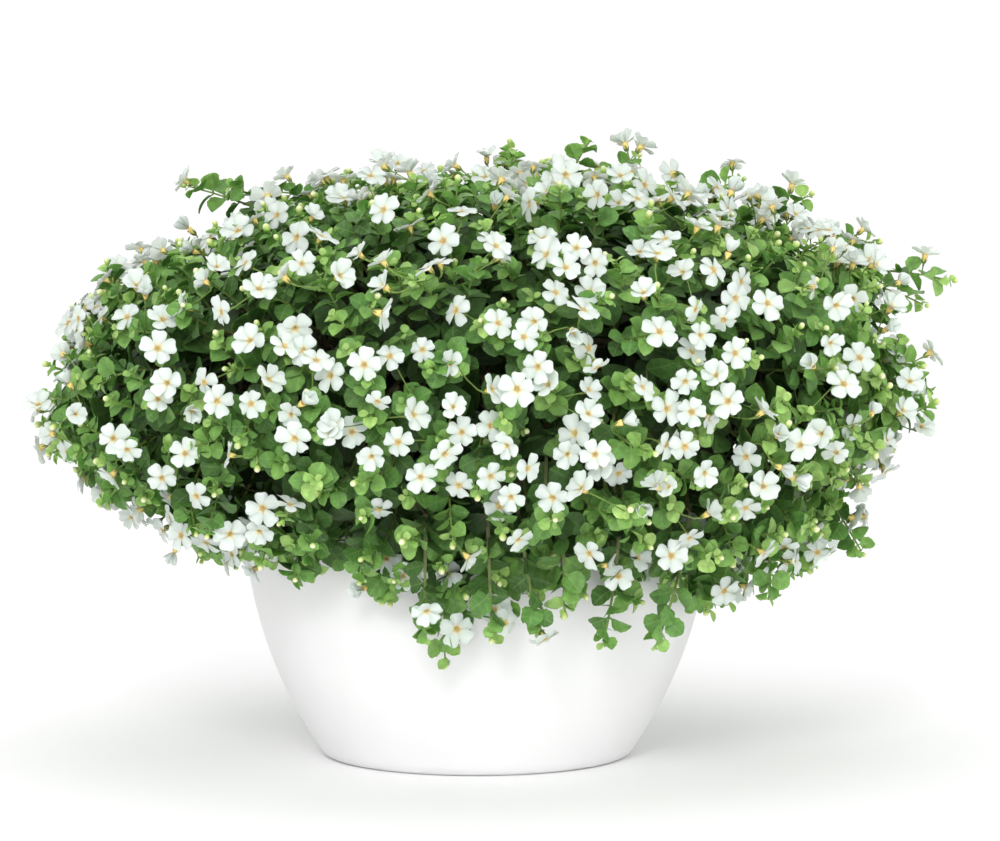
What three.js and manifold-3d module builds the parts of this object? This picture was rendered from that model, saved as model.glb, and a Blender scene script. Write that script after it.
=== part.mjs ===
// A potted bacopa (Chaenostoma cordatum) in full flower.
// A round white pot is filled with soil. Leafy stems stand in the soil, spread over the rim and close into a
// broad mound, and each one carries a spray of five-petalled white blooms.
// Units are millimetres, +Z is up, and the origin is the centre of the pot's flat foot.
// The front of the plant, as it is usually seen, faces -Y.

import * as THREE from "three";
import { mergeVertices } from "three/addons/utils/BufferGeometryUtils.js";
import Module from "manifold-3d";

const wasm = await Module();
wasm.setup();

// Driving dimensions
const POT_HEIGHT = 147;
const POT_FOOT_RADIUS = 80;
const POT_RIM_RADIUS = 123;
const POT_WALL = 3.2;
const POT_FLOOR = 4;
const POT_BELLY = 2.35; // how early the wall turns upright
const POT_SIDES = 30;
const SOIL_HEIGHT = 135;
const SOIL_CROWN = 5; // rise of the soil in the middle of the pot
const CLEARANCE = 0.35; // between pieces that rest in or against each other
const BLOOM_RADIUS = 18.5;
const LEAF_LENGTH = 48;
const LEAF_HALF_WIDTH = 20;
const STEM_RADIUS = 2.1;
const STEM_TAPER = 0.35; // by which a stem thins towards its top, as a share of its radius
const SPRAY_RADIUS = 1.7; // the stalk that a spray's blooms branch from
const SPRIG_RADII = [1.6, 1.3, 0.8]; // a shoot that reaches out of the mound, from its root to its tip

// The mound's outline, as [radius, height] from the crown to the hem, on its four sides
const MOUND = {
  right: [
    [0, 301], [70, 311], [130, 303], [180, 287], [214, 262],
    [222, 226], [230, 180], [214, 146], [190, 114], [156, 92],
  ],
  back: [
    [0, 301], [66, 308], [122, 298], [172, 279], [208, 254],
    [222, 218], [226, 178], [208, 146], [178, 116], [150, 96],
  ],
  left: [
    [0, 301], [60, 304], [112, 290], [165, 270], [200, 244],
    [221, 212], [229, 174], [216, 146], [190, 124], [158, 108],
  ],
  front: [
    [0, 301], [64, 306], [120, 297], [170, 278], [205, 253],
    [221, 218], [223, 178], [205, 144], [175, 114], [147, 92],
  ],
};

// Rows of leafy stems from the crown down: how many, which share of the outline they cover,
// how far from the pot's axis they stand, and the [radius, height] points they arch through
const ROWS = [
  { count: 3, from: 0.03, to: 0.19, foot: 14, arch: [[18, 190]] },
  { count: 5, from: 0.19, to: 0.36, foot: 40, arch: [[52, 190]] },
  { count: 8, from: 0.36, to: 0.6, foot: 68, arch: [[86, 178], [128, 212]] },
  { count: 12, from: 0.6, to: 1, foot: 95, arch: [[103, 156], [126, 172], [152, 174]] },
];
const ROW_TURN = 0.31; // radians by which each row is turned against the one above
const ROW_WAVE = 0.02; // by which the rows' edges wander, as a share of the outline
const TUFT_GAP = 7; // between neighbouring tufts, measured along the mound

// How deep things lie under the mound's outline
const TUFT_DEPTH = 27; // middle of a stem's tuft
const TUFT_ROUNDING = 9; // how much deeper its edges lie
const TUFT_BUMP = 4;
const TUFT_THICKNESS = 9; // at its edges
const HEM_THICKNESS = 3; // the same, at the hem beside the pot
const TUFT_TAPER = 0.14; // by which a tuft narrows at each side towards its back, as a share of the patch
const HUB_DEPTH = 13; // top of the stalk that a spray's blooms branch from
const HUB_STALK = 22;
const BRANCH_STEP = 2.3; // between the branches down the stalk
const BLOOM_DEPTH = 2;
const BLOOM_NOD = 0.4; // how far a bloom may face away from straight outwards

// Shoots that reach out of the mound: azimuth in degrees, share from crown to hem, then the tip's [x, y, z]
const STRAY_SHOOTS = [
  { azimuth: 171, share: 0.27, tip: [-158, 18, 292] },
  { azimuth: 40, share: 0.13, tip: [52, 40, 316] },
  { azimuth: 4, share: 0.45, tip: [245, 8, 250] },
  { azimuth: 356, share: 0.66, tip: [240, -14, 194] },
  { azimuth: 348, share: 0.84, tip: [200, -36, 100] },
  { azimuth: 322, share: 0.86, tip: [146, -98, 80] },
  { azimuth: 204, share: 0.86, tip: [-140, -70, 88] },
  { azimuth: 262, share: 0.88, tip: [-24, -160, 70] },
  { azimuth: 307, share: 0.88, tip: [92, -140, 72] },
];

const GREEN = 0x5c8f33;
const WHITE = 0xf4f7f5;
const POT_WHITE = 0xf1f1ef;
const SOIL_BROWN = 0x33241a;

const UP = new THREE.Vector3(0, 0, 1);
const TAU = 2 * Math.PI;

// A repeatable draw between 0 and 1 for the seed n, and one spread to both sides of zero.
function draw(n) {
  const s = Math.sin(n * 12.9898 + 4.137) * 43758.5453;
  return s - Math.floor(s);
}
const spread = (n, half) => (2 * draw(n) - 1) * half;

// Solids

const SMALLEST_EDGE = 0.15; // detail finer than this is smoothed out of a finished piece

// A closed body from points and triangles, whichever way round the triangles run.
function solid(points, triangles) {
  const vertProperties = new Float32Array(points.flatMap((p) => [p.x, p.y, p.z]));
  const body = (faces) =>
    new wasm.Manifold(
      new wasm.Mesh({ numProp: 3, vertProperties, triVerts: new Uint32Array(faces.flat()) }),
    );
  const made = body(triangles);
  return made.volume() < 0 ? body(triangles.map(([a, b, c]) => [a, c, b])) : made;
}

// A closed three.js geometry as a body.
function solidFrom(geometry) {
  const bare = geometry.clone();
  bare.deleteAttribute("normal");
  bare.deleteAttribute("uv");
  const merged = mergeVertices(bare, 1e-4);
  const at = merged.getAttribute("position");
  const points = Array.from({ length: at.count }, (_, i) => new THREE.Vector3().fromBufferAttribute(at, i));
  const index = Array.from(merged.index.array);
  const triangles = [];
  for (let i = 0; i < index.length; i += 3) triangles.push(index.slice(i, i + 3));
  return solid(points, triangles.filter(([a, b, c]) => a !== b && b !== c && a !== c));
}

// Triangles of a fan from one point to a row of points.
const fan = (centre, row) => row.slice(1).map((p, i) => [centre, row[i], p]);

// A closed tube through points, with one radius for each of them.
function tube(points, radii, sides) {
  const rings = [];
  let side = new THREE.Vector3(1, 0, 0);
  points.forEach((p, i) => {
    const before = points[Math.max(i - 1, 0)];
    const after = points[Math.min(i + 1, points.length - 1)];
    const along = after.clone().sub(before).normalize();
    if (i === 0 && Math.abs(along.dot(side)) > 0.9) side = new THREE.Vector3(0, 1, 0);
    side = side.clone().addScaledVector(along, -side.dot(along)).normalize();
    const across = along.clone().cross(side);
    for (let k = 0; k < sides; k++) {
      const angle = (TAU * k) / sides;
      const ring = side.clone().multiplyScalar(Math.cos(angle)).addScaledVector(across, Math.sin(angle));
      rings.push(p.clone().addScaledVector(ring, radii[i]));
    }
  });
  const triangles = [];
  for (let i = 0; i + 1 < points.length; i++)
    for (let k = 0; k < sides; k++) {
      const a = i * sides + k;
      const b = i * sides + ((k + 1) % sides);
      triangles.push([a, b, b + sides], [a, b + sides, a + sides]);
    }
  const last = (points.length - 1) * sides;
  for (let k = 1; k + 1 < sides; k++) triangles.push([0, k + 1, k], [last, last + k, last + k + 1]);
  return solid(rings, triangles);
}

const union = (bodies) => bodies.reduce((a, b) => a.add(b));

function boxesMeet(a, b) {
  const p = a.boundingBox();
  const q = b.boundingBox();
  return [0, 1, 2].every((k) => p.min[k] < q.max[k] && q.min[k] < p.max[k]);
}
const meets = (a, b) => boxesMeet(a, b) && a.intersect(b).volume() > 0;

// The mound

const OUTLINES = ["right", "back", "left", "front"].map(
  (side) => new THREE.SplineCurve(MOUND[side].map(([r, z]) => new THREE.Vector2(r, z))),
);

// The point of the mound's outline at an azimuth and a share from crown to hem.
function onMound(azimuth, share) {
  const c = Math.cos(azimuth);
  const s = Math.sin(azimuth);
  const weights = [c, s, -c, -s].map((w) => Math.max(0, w) ** 2);
  const at = new THREE.Vector2();
  OUTLINES.forEach((curve, i) => at.addScaledVector(curve.getPointAt(share), weights[i]));
  return new THREE.Vector3(at.x * c, at.x * s, at.y);
}

// The mound's outward direction there.
function outward(azimuth, share) {
  const step = 0.012;
  const round = onMound(azimuth + step, share).sub(onMound(azimuth - step, share));
  const down = onMound(azimuth, Math.min(share + step, 1)).sub(onMound(azimuth, Math.max(share - step, 0)));
  return down.cross(round).normalize();
}

// A point at a depth under the outline.
const under = (azimuth, share, depth) =>
  onMound(azimuth, share).addScaledVector(outward(azimuth, share), -depth);

// Each leafy stem owns a patch of the mound, where u runs round it and v down it, both from 0 to 1.
const PATCHES = ROWS.flatMap((row, level) =>
  Array.from({ length: row.count }, (_, i) => {
    const width = TAU / row.count;
    const start = i * width + level * ROW_TURN;
    const above = ROWS.slice(0, level).reduce((sum, { count }) => sum + count, 0);
    return { row, level, start, width, number: above + i };
  }),
);

// How far the edge between two rows wanders; the hem itself is even.
function wander(azimuth, share) {
  if (share === ROWS.at(-1).to) return 0;
  return ROW_WAVE * (Math.sin(2 * azimuth + 20 * share) + 0.6 * Math.sin(5 * azimuth));
}

function inPatch(patch, u, v) {
  const { from, to } = patch.row;
  const middle = patch.start + u * patch.width;
  const radius = Math.hypot(...onMound(middle, from + v * (to - from)).toArray().slice(0, 2));
  const margin = Math.min(TUFT_GAP / 2 / Math.max(radius, 1), patch.width / 6);
  const azimuth = patch.start + margin + u * (patch.width - 2 * margin);
  const [top, bottom] = [from, to].map((share) => share + wander(azimuth, share));
  const edge = TUFT_GAP / 2 / OUTLINES[0].getLength();
  return { azimuth, share: top + edge + v * (bottom - top - 2 * edge) };
}
const patchPoint = (patch, u, v, depth) => {
  const { azimuth, share } = inPatch(patch, u, v);
  return under(azimuth, share, depth);
};
const patchOutward = (patch, u, v) => {
  const { azimuth, share } = inPatch(patch, u, v);
  return outward(azimuth, share);
};

// Leafy stems

// How deep a tuft's outer face lies, rounded off to its edges.
const tuftDepth = (u, v) =>
  TUFT_DEPTH + TUFT_ROUNDING * Math.max(Math.abs(2 * u - 1), Math.abs(2 * v - 1)) ** 3;
function tuftBack(patch, v) {
  const thinner = patch.row === ROWS.at(-1) ? v * (TUFT_THICKNESS - HEM_THICKNESS) : 0;
  return TUFT_DEPTH + TUFT_ROUNDING + TUFT_THICKNESS - thinner;
}

// The core of a leafy stem, from which its leaves and its spray of blooms stand out.
function tuft(patch) {
  const points = [];
  const n = 3;
  for (let j = 0; j <= n; j++)
    for (let i = 0; i <= n; i++) {
      const bump = spread(patch.number * 31 + i * 7 + j * 13, TUFT_BUMP);
      points.push(patchPoint(patch, i / n, j / n, tuftDepth(i / n, j / n) + bump));
    }
  const front = (i, j) => j * (n + 1) + i;
  const triangles = [];
  for (let j = 0; j < n; j++)
    for (let i = 0; i < n; i++) {
      const [a, b, c, d] = [front(i, j), front(i + 1, j), front(i + 1, j + 1), front(i, j + 1)];
      triangles.push([a, b, c], [a, c, d]);
    }
  const corners = [[0, 0], [1, 0], [1, 1], [0, 1]];
  const inset = (w) => TUFT_TAPER + w * (1 - 2 * TUFT_TAPER);
  const back = corners.map(([u, v]) => {
    points.push(patchPoint(patch, inset(u), inset(v), tuftBack(patch, v)));
    return points.length - 1;
  });
  triangles.push([back[0], back[2], back[1]], [back[0], back[3], back[2]]);
  corners.forEach(([u, v], k) => {
    const [nu, nv] = corners[(k + 1) % 4];
    const next = back[(k + 1) % 4];
    const rim = Array.from({ length: n + 1 }, (_, i) => front(u * (n - i) + nu * i, v * (n - i) + nv * i));
    for (let i = 0; i < n; i++) triangles.push([rim[i], i < n / 2 ? back[k] : next, rim[i + 1]]);
    triangles.push([rim[Math.ceil(n / 2)], back[k], next]);
  });
  return solid(points, triangles);
}

// Where a leafy stem enters the soil, and the height of the soil there.
function stemFoot(patch) {
  const azimuth = patch.start + patch.width / 2 + spread(patch.number + 0.4, 0.05);
  const radius = patch.row.foot + spread(patch.number + 0.7, 3);
  return { azimuth, radius, soil: SOIL_HEIGHT + SOIL_CROWN * (1 - radius / POT_RIM_RADIUS) };
}
const polar = (azimuth, radius, height) =>
  new THREE.Vector3(radius * Math.cos(azimuth), radius * Math.sin(azimuth), height);

const ROOT_DEPTH = 12;
const STEM_COLLAR = 7; // height over the soil to which a stem stands upright
const STEM_TOP = [0.5, 0.42]; // where a stem meets its tuft, in the patch
function stem(patch) {
  const { azimuth, radius, soil } = stemFoot(patch);
  const points = [-ROOT_DEPTH, STEM_COLLAR].map((rise) => polar(azimuth, radius, soil + rise));
  patch.row.arch.forEach(([r, z]) => points.push(polar(azimuth, r, z)));
  points.push(patchPoint(patch, ...STEM_TOP, TUFT_DEPTH + TUFT_ROUNDING));
  const radii = points.map((_, i) => STEM_RADIUS * (1 - (STEM_TAPER * i) / (points.length - 1)));
  return tube(points, radii, 4);
}
function stemHole(patch) {
  const { azimuth, radius, soil } = stemFoot(patch);
  const ends = [soil - ROOT_DEPTH - CLEARANCE, soil + SOIL_CROWN].map((z) => polar(azimuth, radius, z));
  const wide = STEM_RADIUS + CLEARANCE * Math.SQRT2;
  return tube(ends, [wide, wide], 4);
}

// A toothed, slightly folded leaf on its stalk. It stands at root, runs along, and its face looks to facing.
// Edge points are [across, along] in half widths and lengths, for one side, from the stalk to the tip.
const LEAF_EDGE = [[0.1, -0.06], [1, 0.36], [0.74, 0.52], [0.68, 0.8]];
const LEAF_SINK = 6; // depth of a stalk's root in the tuft
const LEAF_STALK = 0.3; // share of the blade's length
const LEAF_FOLD = 0.3; // by which the edges rise over the midrib, as a share of the width
const LEAF_DROOP = 0.15; // by which the tip falls, as a share of the length
const LEAF_BULGE = 0.9; // half the thickness in the middle of the blade
const STALK_HALF = 1.2; // half the thickness of a leaf's stalk
function leaf(root, along, facing, length = LEAF_LENGTH, room = 0) {
  const y = along.clone().normalize();
  const z = facing.clone().addScaledVector(y, -facing.dot(y)).normalize();
  const x = y.clone().cross(z);
  const width = (LEAF_HALF_WIDTH * length) / LEAF_LENGTH + room;
  const blade = length + room;
  const stalk = length * LEAF_STALK;
  const at = (across, forward, lift) =>
    root.clone().addScaledVector(x, across).addScaledVector(y, forward).addScaledVector(z, lift);
  const edge = (sign) =>
    LEAF_EDGE.map(([w, l]) =>
      at(sign * w * width, stalk + l * blade, w * LEAF_FOLD * width - l * l * LEAF_DROOP * blade),
    );
  const tip = at(0, stalk + blade, -LEAF_DROOP * blade);
  const outline = [...edge(-1), tip, ...edge(1).reverse()];
  const n = outline.length;
  const middle = stalk + 0.5 * blade;
  const bulge = LEAF_BULGE + room;
  const ribs = [at(0, middle, bulge), at(0, middle, -bulge), at(0, 0, STALK_HALF), at(0, 0, -STALK_HALF)];
  const points = [...outline, ...ribs];
  const [top, base, high, low] = [n, n + 1, n + 2, n + 3];
  const row = [...outline.keys()];
  const triangles = [
    ...fan(top, [...row, high, 0]),
    ...fan(base, [0, low, ...row.reverse()]),
    [high, low, 0],
    [low, high, n - 1],
  ];
  return solid(points, triangles);
}

// Flower sprays

// One bloom on its stalk: five broad petals round a sunken throat, and a stalk from their back to the hub.
const PETALS = 5;
const PETAL_HALF_ANGLE = 0.36;
const PETAL_NOTCH = 0.46; // how far out the gap between two petals starts, as a share of the radius
const PETAL_LIFT = 1; // of the petals' ends over the bloom's middle plane
const NOTCH_LIFT = 0.6;
const THROAT_DROP = 0.6;
const CALYX_DROP = 3.4; // of the stalk's top corners under the petals
const CALYX_RADIUS = 1.9;
const BLOOM_STALK_RADIUS = 0.85;
function bloom(centre, facing, hub, turn) {
  const z = facing.clone().normalize();
  const upright = Math.abs(z.z) < 0.9 ? UP : new THREE.Vector3(1, 0, 0);
  const x = new THREE.Vector3().crossVectors(upright, z).normalize();
  const y = z.clone().cross(x);
  const at = (angle, radius, lift) =>
    centre
      .clone()
      .addScaledVector(x, radius * Math.cos(angle))
      .addScaledVector(y, radius * Math.sin(angle))
      .addScaledVector(z, lift);
  const outline = [];
  for (let k = 0; k < PETALS; k++) {
    const middle = turn + (TAU * k) / PETALS;
    const reach = BLOOM_RADIUS * (1 + spread(turn * 9 + k, 0.06));
    outline.push(at(middle - PETAL_HALF_ANGLE, reach, PETAL_LIFT));
    outline.push(at(middle + PETAL_HALF_ANGLE, reach, PETAL_LIFT));
    outline.push(at(middle + TAU / PETALS / 2, reach * PETAL_NOTCH, NOTCH_LIFT));
  }
  const throat = at(0, 0, -THROAT_DROP);
  const corners = [0, 1, 2].map((k) => turn + 0.35 + (TAU * k) / 3);
  const back = corners.map((angle) => at(angle, CALYX_RADIUS, -CALYX_DROP));
  const arm = centre.clone().sub(hub).normalize();
  const side = x.clone().addScaledVector(arm, -x.dot(arm)).normalize();
  const across = arm.clone().cross(side);
  const foot = corners.map((angle) => {
    const ring = side.clone().multiplyScalar(Math.cos(angle)).addScaledVector(across, Math.sin(angle));
    return hub.clone().addScaledVector(ring, BLOOM_STALK_RADIUS);
  });
  const n = outline.length;
  const points = [...outline, throat, ...back, ...foot];
  const [b, f] = [n + 1, n + 4];
  const triangles = fan(n, [...outline.keys(), 0]);
  // Each third of the outline closes onto its own corner of the stalk.
  const third = n / 3;
  for (let k = 0; k < 3; k++) {
    const next = (k + 1) % 3;
    for (let i = third * k; i < third * (k + 1); i++) triangles.push([b + k, (i + 1) % n, i]);
    triangles.push([b + k, b + next, (third * (k + 1)) % n]);
    triangles.push([b + k, f + k, f + next], [b + k, f + next, b + next]);
  }
  triangles.push([f, f + 2, f + 1]);
  return solid(points, triangles);
}

// Where a spray's blooms and its hub sit in the patch, as [u, v]. A crown patch is a wedge with a narrow top.
const WEDGE = { hub: [0.5, 0.62], spots: [[0.5, 0.3], [0.16, 0.72], [0.84, 0.72], [0.5, 0.95]] };
const SQUARE = { hub: [0.5, 0.5], spots: [[0.22, 0.2], [0.78, 0.16], [0.24, 0.82], [0.76, 0.78]] };
const shapeOf = (patch) => (patch.level === 0 ? WEDGE : SQUARE);

// A bloom near a spot of a patch, on a stalk from a joint. Its place and turn are drawn again until it clears
// the others given and the heads of its own spray.
const BLOOM_TRIES = 12;
const HEAD_DEPTH = 6; // of the part of a bloom that is kept clear of its spray's other blooms
function sprayBloom(patch, joint, [u, v], seed, others, heads) {
  for (let attempt = 0; attempt < BLOOM_TRIES; attempt++) {
    const n = seed + attempt * 0.31;
    const [pu, pv] = [u + spread(n, 0.06), v + spread(n + 1, 0.06)];
    const facing = patchOutward(patch, pu, pv).normalize();
    const nod = new THREE.Vector3(spread(n + 2, 1), spread(n + 3, 1), spread(n + 4, 1));
    facing.addScaledVector(nod, BLOOM_NOD).normalize();
    const centre = patchPoint(patch, pu, pv, BLOOM_DEPTH + spread(n + 5, 2));
    const turn = draw(n + 6) * TAU;
    const made = bloom(centre, facing, joint, turn);
    const head = bloom(centre, facing, centre.clone().addScaledVector(facing, -HEAD_DEPTH), turn);
    if (others.some((other) => meets(made, other)) || heads.some((other) => meets(head, other))) continue;
    heads.push(head);
    return made;
  }
  return null;
}

// The line of a spray's stalk, from inside the tuft to the hub where its blooms meet.
function hubLine(patch, deeper) {
  const [u, v] = shapeOf(patch).hub;
  return [HUB_DEPTH + HUB_STALK + deeper, HUB_DEPTH - 1].map((depth) => patchPoint(patch, u, v, depth));
}

// A spray of blooms on one stalk, clear of the others given.
function spray(patch, others) {
  const line = hubLine(patch, 0);
  const heads = [];
  const blooms = shapeOf(patch).spots.map((spot, i) => {
    const joint = line[1].clone().lerp(line[0], (BRANCH_STEP * (i + 1)) / HUB_STALK);
    return sprayBloom(patch, joint, spot, patch.number * 17 + i * 3, others, heads);
  });
  return union([tube(line, [SPRAY_RADIUS, SPRAY_RADIUS], 4), ...blooms.filter(Boolean)]);
}
function sprayHole(patch) {
  const wide = SPRAY_RADIUS + CLEARANCE * Math.SQRT2;
  return tube(hubLine(patch, CLEARANCE), [wide, wide], 4);
}

// The patch that a point of the mound lies in, and where it lies there, kept away from the patch's edges.
function patchAt(azimuthDegrees, share) {
  const angle = THREE.MathUtils.degToRad(azimuthDegrees);
  const turnOf = ({ start }) => (((angle - start) % TAU) + TAU) % TAU;
  const owner = PATCHES.find((patch) => share <= patch.row.to && turnOf(patch) < patch.width);
  const v = (share - owner.row.from) / (owner.row.to - owner.row.from);
  return [owner, ...[turnOf(owner) / owner.width, v].map((w) => THREE.MathUtils.clamp(w, 0.25, 0.75))];
}

// A shoot that reaches out of the mound, with leaves in turn on its two sides.
const SHOOT_LEAVES = [[0.62, 1], [0.78, -1], [0.95, 1]]; // share of the way out, and side
const SHOOT_ARCH = 7;
function strayShoot({ azimuth, share, tip }, number) {
  const [owner, u, v] = patchAt(azimuth, share);
  const start = patchPoint(owner, u, v, tuftDepth(u, v) + LEAF_SINK);
  const end = new THREE.Vector3(...tip);
  const out = patchOutward(owner, u, v);
  const middle = start.clone().lerp(end, 0.55).addScaledVector(out, SHOOT_ARCH);
  const path = new THREE.QuadraticBezierCurve3(start, middle, end);
  const bodies = [tube([0, 0.5, 1].map((t) => path.getPoint(t)), SPRIG_RADII, 3)];
  SHOOT_LEAVES.forEach(([t, sign], i) => {
    const along = path.getTangent(t);
    const face = out.clone().add(UP).addScaledVector(along, -0.2);
    const side = new THREE.Vector3().crossVectors(along, face).normalize().multiplyScalar(sign);
    const lean = side.addScaledVector(along, 0.7).addScaledVector(out, 0.2 + spread(number * 5 + i, 0.2));
    bodies.push(leaf(path.getPoint(t), lean, face, LEAF_LENGTH * (0.55 - 0.08 * i)));
  });
  return { owner: owner.number, body: union(bodies) };
}

// Leaves that fan out from a tuft on all sides, each turned until it clears the other stems, the blooms and
// the leaves before it.
const LEAF_SPOTS = [
  [0.14, 0.12], [0.84, 0.86], [0.86, 0.14], [0.16, 0.88], [0.1, 0.5], [0.9, 0.52],
  [0.5, 0.12], [0.5, 0.88], [0.3, 0.34], [0.7, 0.66], [0.68, 0.36], [0.32, 0.64],
];
const LEAF_TRIES = 40;
const LEAF_HOLD = 12; // cubic millimetres by which a leaf's stalk is at least sunk in the tuft
const LEAF_ROOM = 0.5; // kept free round a leaf
function addLeaves(patch, body, others) {
  const leaves = [];
  const held = (made) => boxesMeet(made, body) && made.intersect(body).volume() > LEAF_HOLD;
  LEAF_SPOTS.forEach(([su, sv], spot) => {
    for (let attempt = 0; attempt < LEAF_TRIES; attempt++) {
      const seed = patch.number * 53 + spot * 7 + attempt * 0.37 + 200;
      const [u, v] = [su, sv].map((w, k) => THREE.MathUtils.clamp(w + spread(seed + k, 0.1), 0.1, 0.9));
      const out = patchOutward(patch, u, v);
      const aside = new THREE.Vector3().crossVectors(out, UP).normalize();
      const upward = aside.clone().cross(out);
      const angle = Math.atan2(v - 0.5, u - 0.5) + spread(seed + 2, 1.2);
      const lean = aside.multiplyScalar(-Math.cos(angle)).addScaledVector(upward, -Math.sin(angle));
      const rise = 0.25 + 0.6 * draw(seed + 4);
      const along = out.clone().multiplyScalar(rise).addScaledVector(lean, 0.8);
      const root = patchPoint(patch, u, v, tuftDepth(u, v) + LEAF_SINK);
      const size = LEAF_LENGTH * (0.95 + 0.15 * draw(seed + 3) - (0.4 * attempt) / LEAF_TRIES);
      const roomy = leaf(root, along, out, size, LEAF_ROOM);
      const made = leaf(root, along, out, size);
      if (!held(made) || [...others, ...leaves].some((other) => meets(roomy, other))) continue;
      leaves.push(made);
      break;
    }
  });
  return union([body, ...leaves]);
}

// Pot and soil

const potRadius = (height) =>
  POT_FOOT_RADIUS + (POT_RIM_RADIUS - POT_FOOT_RADIUS) * (1 - (1 - height / POT_HEIGHT) ** POT_BELLY);

// A body turned round the pot's axis from [radius, height] points that start and end on the axis.
function turned(profile, sides) {
  const lathe = new THREE.LatheGeometry(profile.map(([r, z]) => new THREE.Vector2(r, z)), sides);
  return solidFrom(lathe.rotateX(Math.PI / 2));
}

// Points on the pot's wall at shares of its height, moved inwards by inset.
const wallPoints = (shares, inset) =>
  shares.map((share) => [potRadius(share * POT_HEIGHT) - inset, share * POT_HEIGHT]);

const FOOT_BEVEL = 1.5;
const FLOOR_FILLET = 2; // by which the floor inside the pot is narrower than the wall there
function potSolid() {
  const foot = [[0, 0], [POT_FOOT_RADIUS - FOOT_BEVEL, 0]];
  const outer = wallPoints([0.03, 0.14, 0.34, 0.62, 0.97], 0);
  const lip = [POT_RIM_RADIUS - POT_WALL / 2, POT_HEIGHT];
  const inner = wallPoints([0.95, 0.5, 0.2], POT_WALL);
  const floor = [[potRadius(POT_FLOOR) - POT_WALL - FLOOR_FILLET, POT_FLOOR], [0, POT_FLOOR]];
  return turned([...foot, ...outer, lip, ...inner, ...floor], POT_SIDES);
}

const SOIL_INSET = POT_WALL + CLEARANCE + 1.6; // clears the flats between the wall's corners
function soilSolid() {
  const bottom = POT_FLOOR + CLEARANCE;
  const base = [[0, bottom], [potRadius(POT_FLOOR) - SOIL_INSET - FLOOR_FILLET - 1, bottom]];
  const side = wallPoints([0.2, 0.5, SOIL_HEIGHT / POT_HEIGHT], SOIL_INSET);
  return turned([...base, ...side, [0, SOIL_HEIGHT + SOIL_CROWN]], POT_SIDES);
}

// Assembly

const group = new THREE.Group();
function addPiece(name, body, color, roughness) {
  const mesh = body.asOriginal().simplify(SMALLEST_EDGE).getMesh();
  const geometry = new THREE.BufferGeometry();
  geometry.setAttribute("position", new THREE.BufferAttribute(new Float32Array(mesh.vertProperties), 3));
  geometry.setIndex(new THREE.BufferAttribute(new Uint32Array(mesh.triVerts), 1));
  geometry.computeVertexNormals();
  const piece = new THREE.Mesh(geometry, new THREE.MeshStandardMaterial({ color, roughness, metalness: 0 }));
  piece.name = name;
  group.add(piece);
}
const numbered = (word, n) => `${word}_${String(n + 1).padStart(2, "0")}`;

const pot = potSolid();
const strays = STRAY_SHOOTS.map(strayShoot);
const sprays = [];
PATCHES.forEach((patch) => sprays.push(spray(patch, [pot, ...strays.map(({ body }) => body), ...sprays])));
const leafy = PATCHES.map((patch) => tuft(patch).subtract(sprayHole(patch)).add(stem(patch)));
strays.forEach(({ owner, body }) => {
  leafy[owner] = leafy[owner].add(body);
});
PATCHES.forEach((patch, i) => {
  const others = [pot, ...sprays, ...leafy.filter((_, k) => k !== i)];
  leafy[i] = addLeaves(patch, leafy[i], others);
});

addPiece("pot", pot, POT_WHITE, 0.25);
const soil = PATCHES.map(stemHole).reduce((filling, hole) => filling.subtract(hole), soilSolid());
addPiece("soil", soil, SOIL_BROWN, 0.95);
leafy.forEach((body, i) => addPiece(numbered("leafy_stem", i), body, GREEN, 0.6));
sprays.forEach((body, i) => addPiece(numbered("flower_spray", i), body, WHITE, 0.55));

export default group;
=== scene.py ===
"""A potted bacopa in full flower, dressed for rendering.

A white bowl pot of soil holds a broad mound of leafy shoots. Each shoot is a curved stem with opposite
pairs of leaves, and bears buds and five-petalled white blooms on fine stalks near its tip. Shoots and blooms
are grouped into the same patches of the mound as the part's own leafy stems and flower sprays.
Lengths are in metres where no millimetres are named, +Z is up and the front of the plant faces -Y.
"""
import math

import bpy
import numpy as np
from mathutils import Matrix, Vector


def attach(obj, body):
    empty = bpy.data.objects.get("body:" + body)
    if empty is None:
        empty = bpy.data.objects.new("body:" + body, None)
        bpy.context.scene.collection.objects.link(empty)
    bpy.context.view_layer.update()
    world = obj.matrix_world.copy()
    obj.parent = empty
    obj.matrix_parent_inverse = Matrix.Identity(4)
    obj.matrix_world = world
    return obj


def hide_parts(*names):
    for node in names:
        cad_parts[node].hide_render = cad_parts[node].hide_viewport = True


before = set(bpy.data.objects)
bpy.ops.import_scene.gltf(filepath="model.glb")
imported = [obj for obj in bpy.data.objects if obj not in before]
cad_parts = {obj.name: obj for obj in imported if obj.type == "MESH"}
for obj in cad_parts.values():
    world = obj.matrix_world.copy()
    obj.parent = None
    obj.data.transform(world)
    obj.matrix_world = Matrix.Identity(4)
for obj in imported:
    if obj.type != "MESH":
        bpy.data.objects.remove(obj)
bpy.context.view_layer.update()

MM = 0.001
TAU = 2 * math.pi
UP = np.array([0.0, 0.0, 1.0])
NO_LENGTH = 1e-12  # stands in for a length of zero
SEED = 11
rng = np.random.default_rng(SEED)

# Driving dimensions
POT_HEIGHT = 147 * MM
POT_FOOT_RADIUS = 80 * MM
POT_RIM_RADIUS = 123 * MM
POT_WALL = 3.2 * MM
POT_FLOOR = 4 * MM
POT_BELLY = 2.35  # how early the wall turns upright
SOIL_HEIGHT = 135 * MM
SOIL_CROWN = 5 * MM
BLOOM_RADIUS = 9.0 * MM
LEAF_LENGTH = 9.6 * MM
SHOOT_REACH = 58 * MM  # length of a shoot inside the mound

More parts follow.
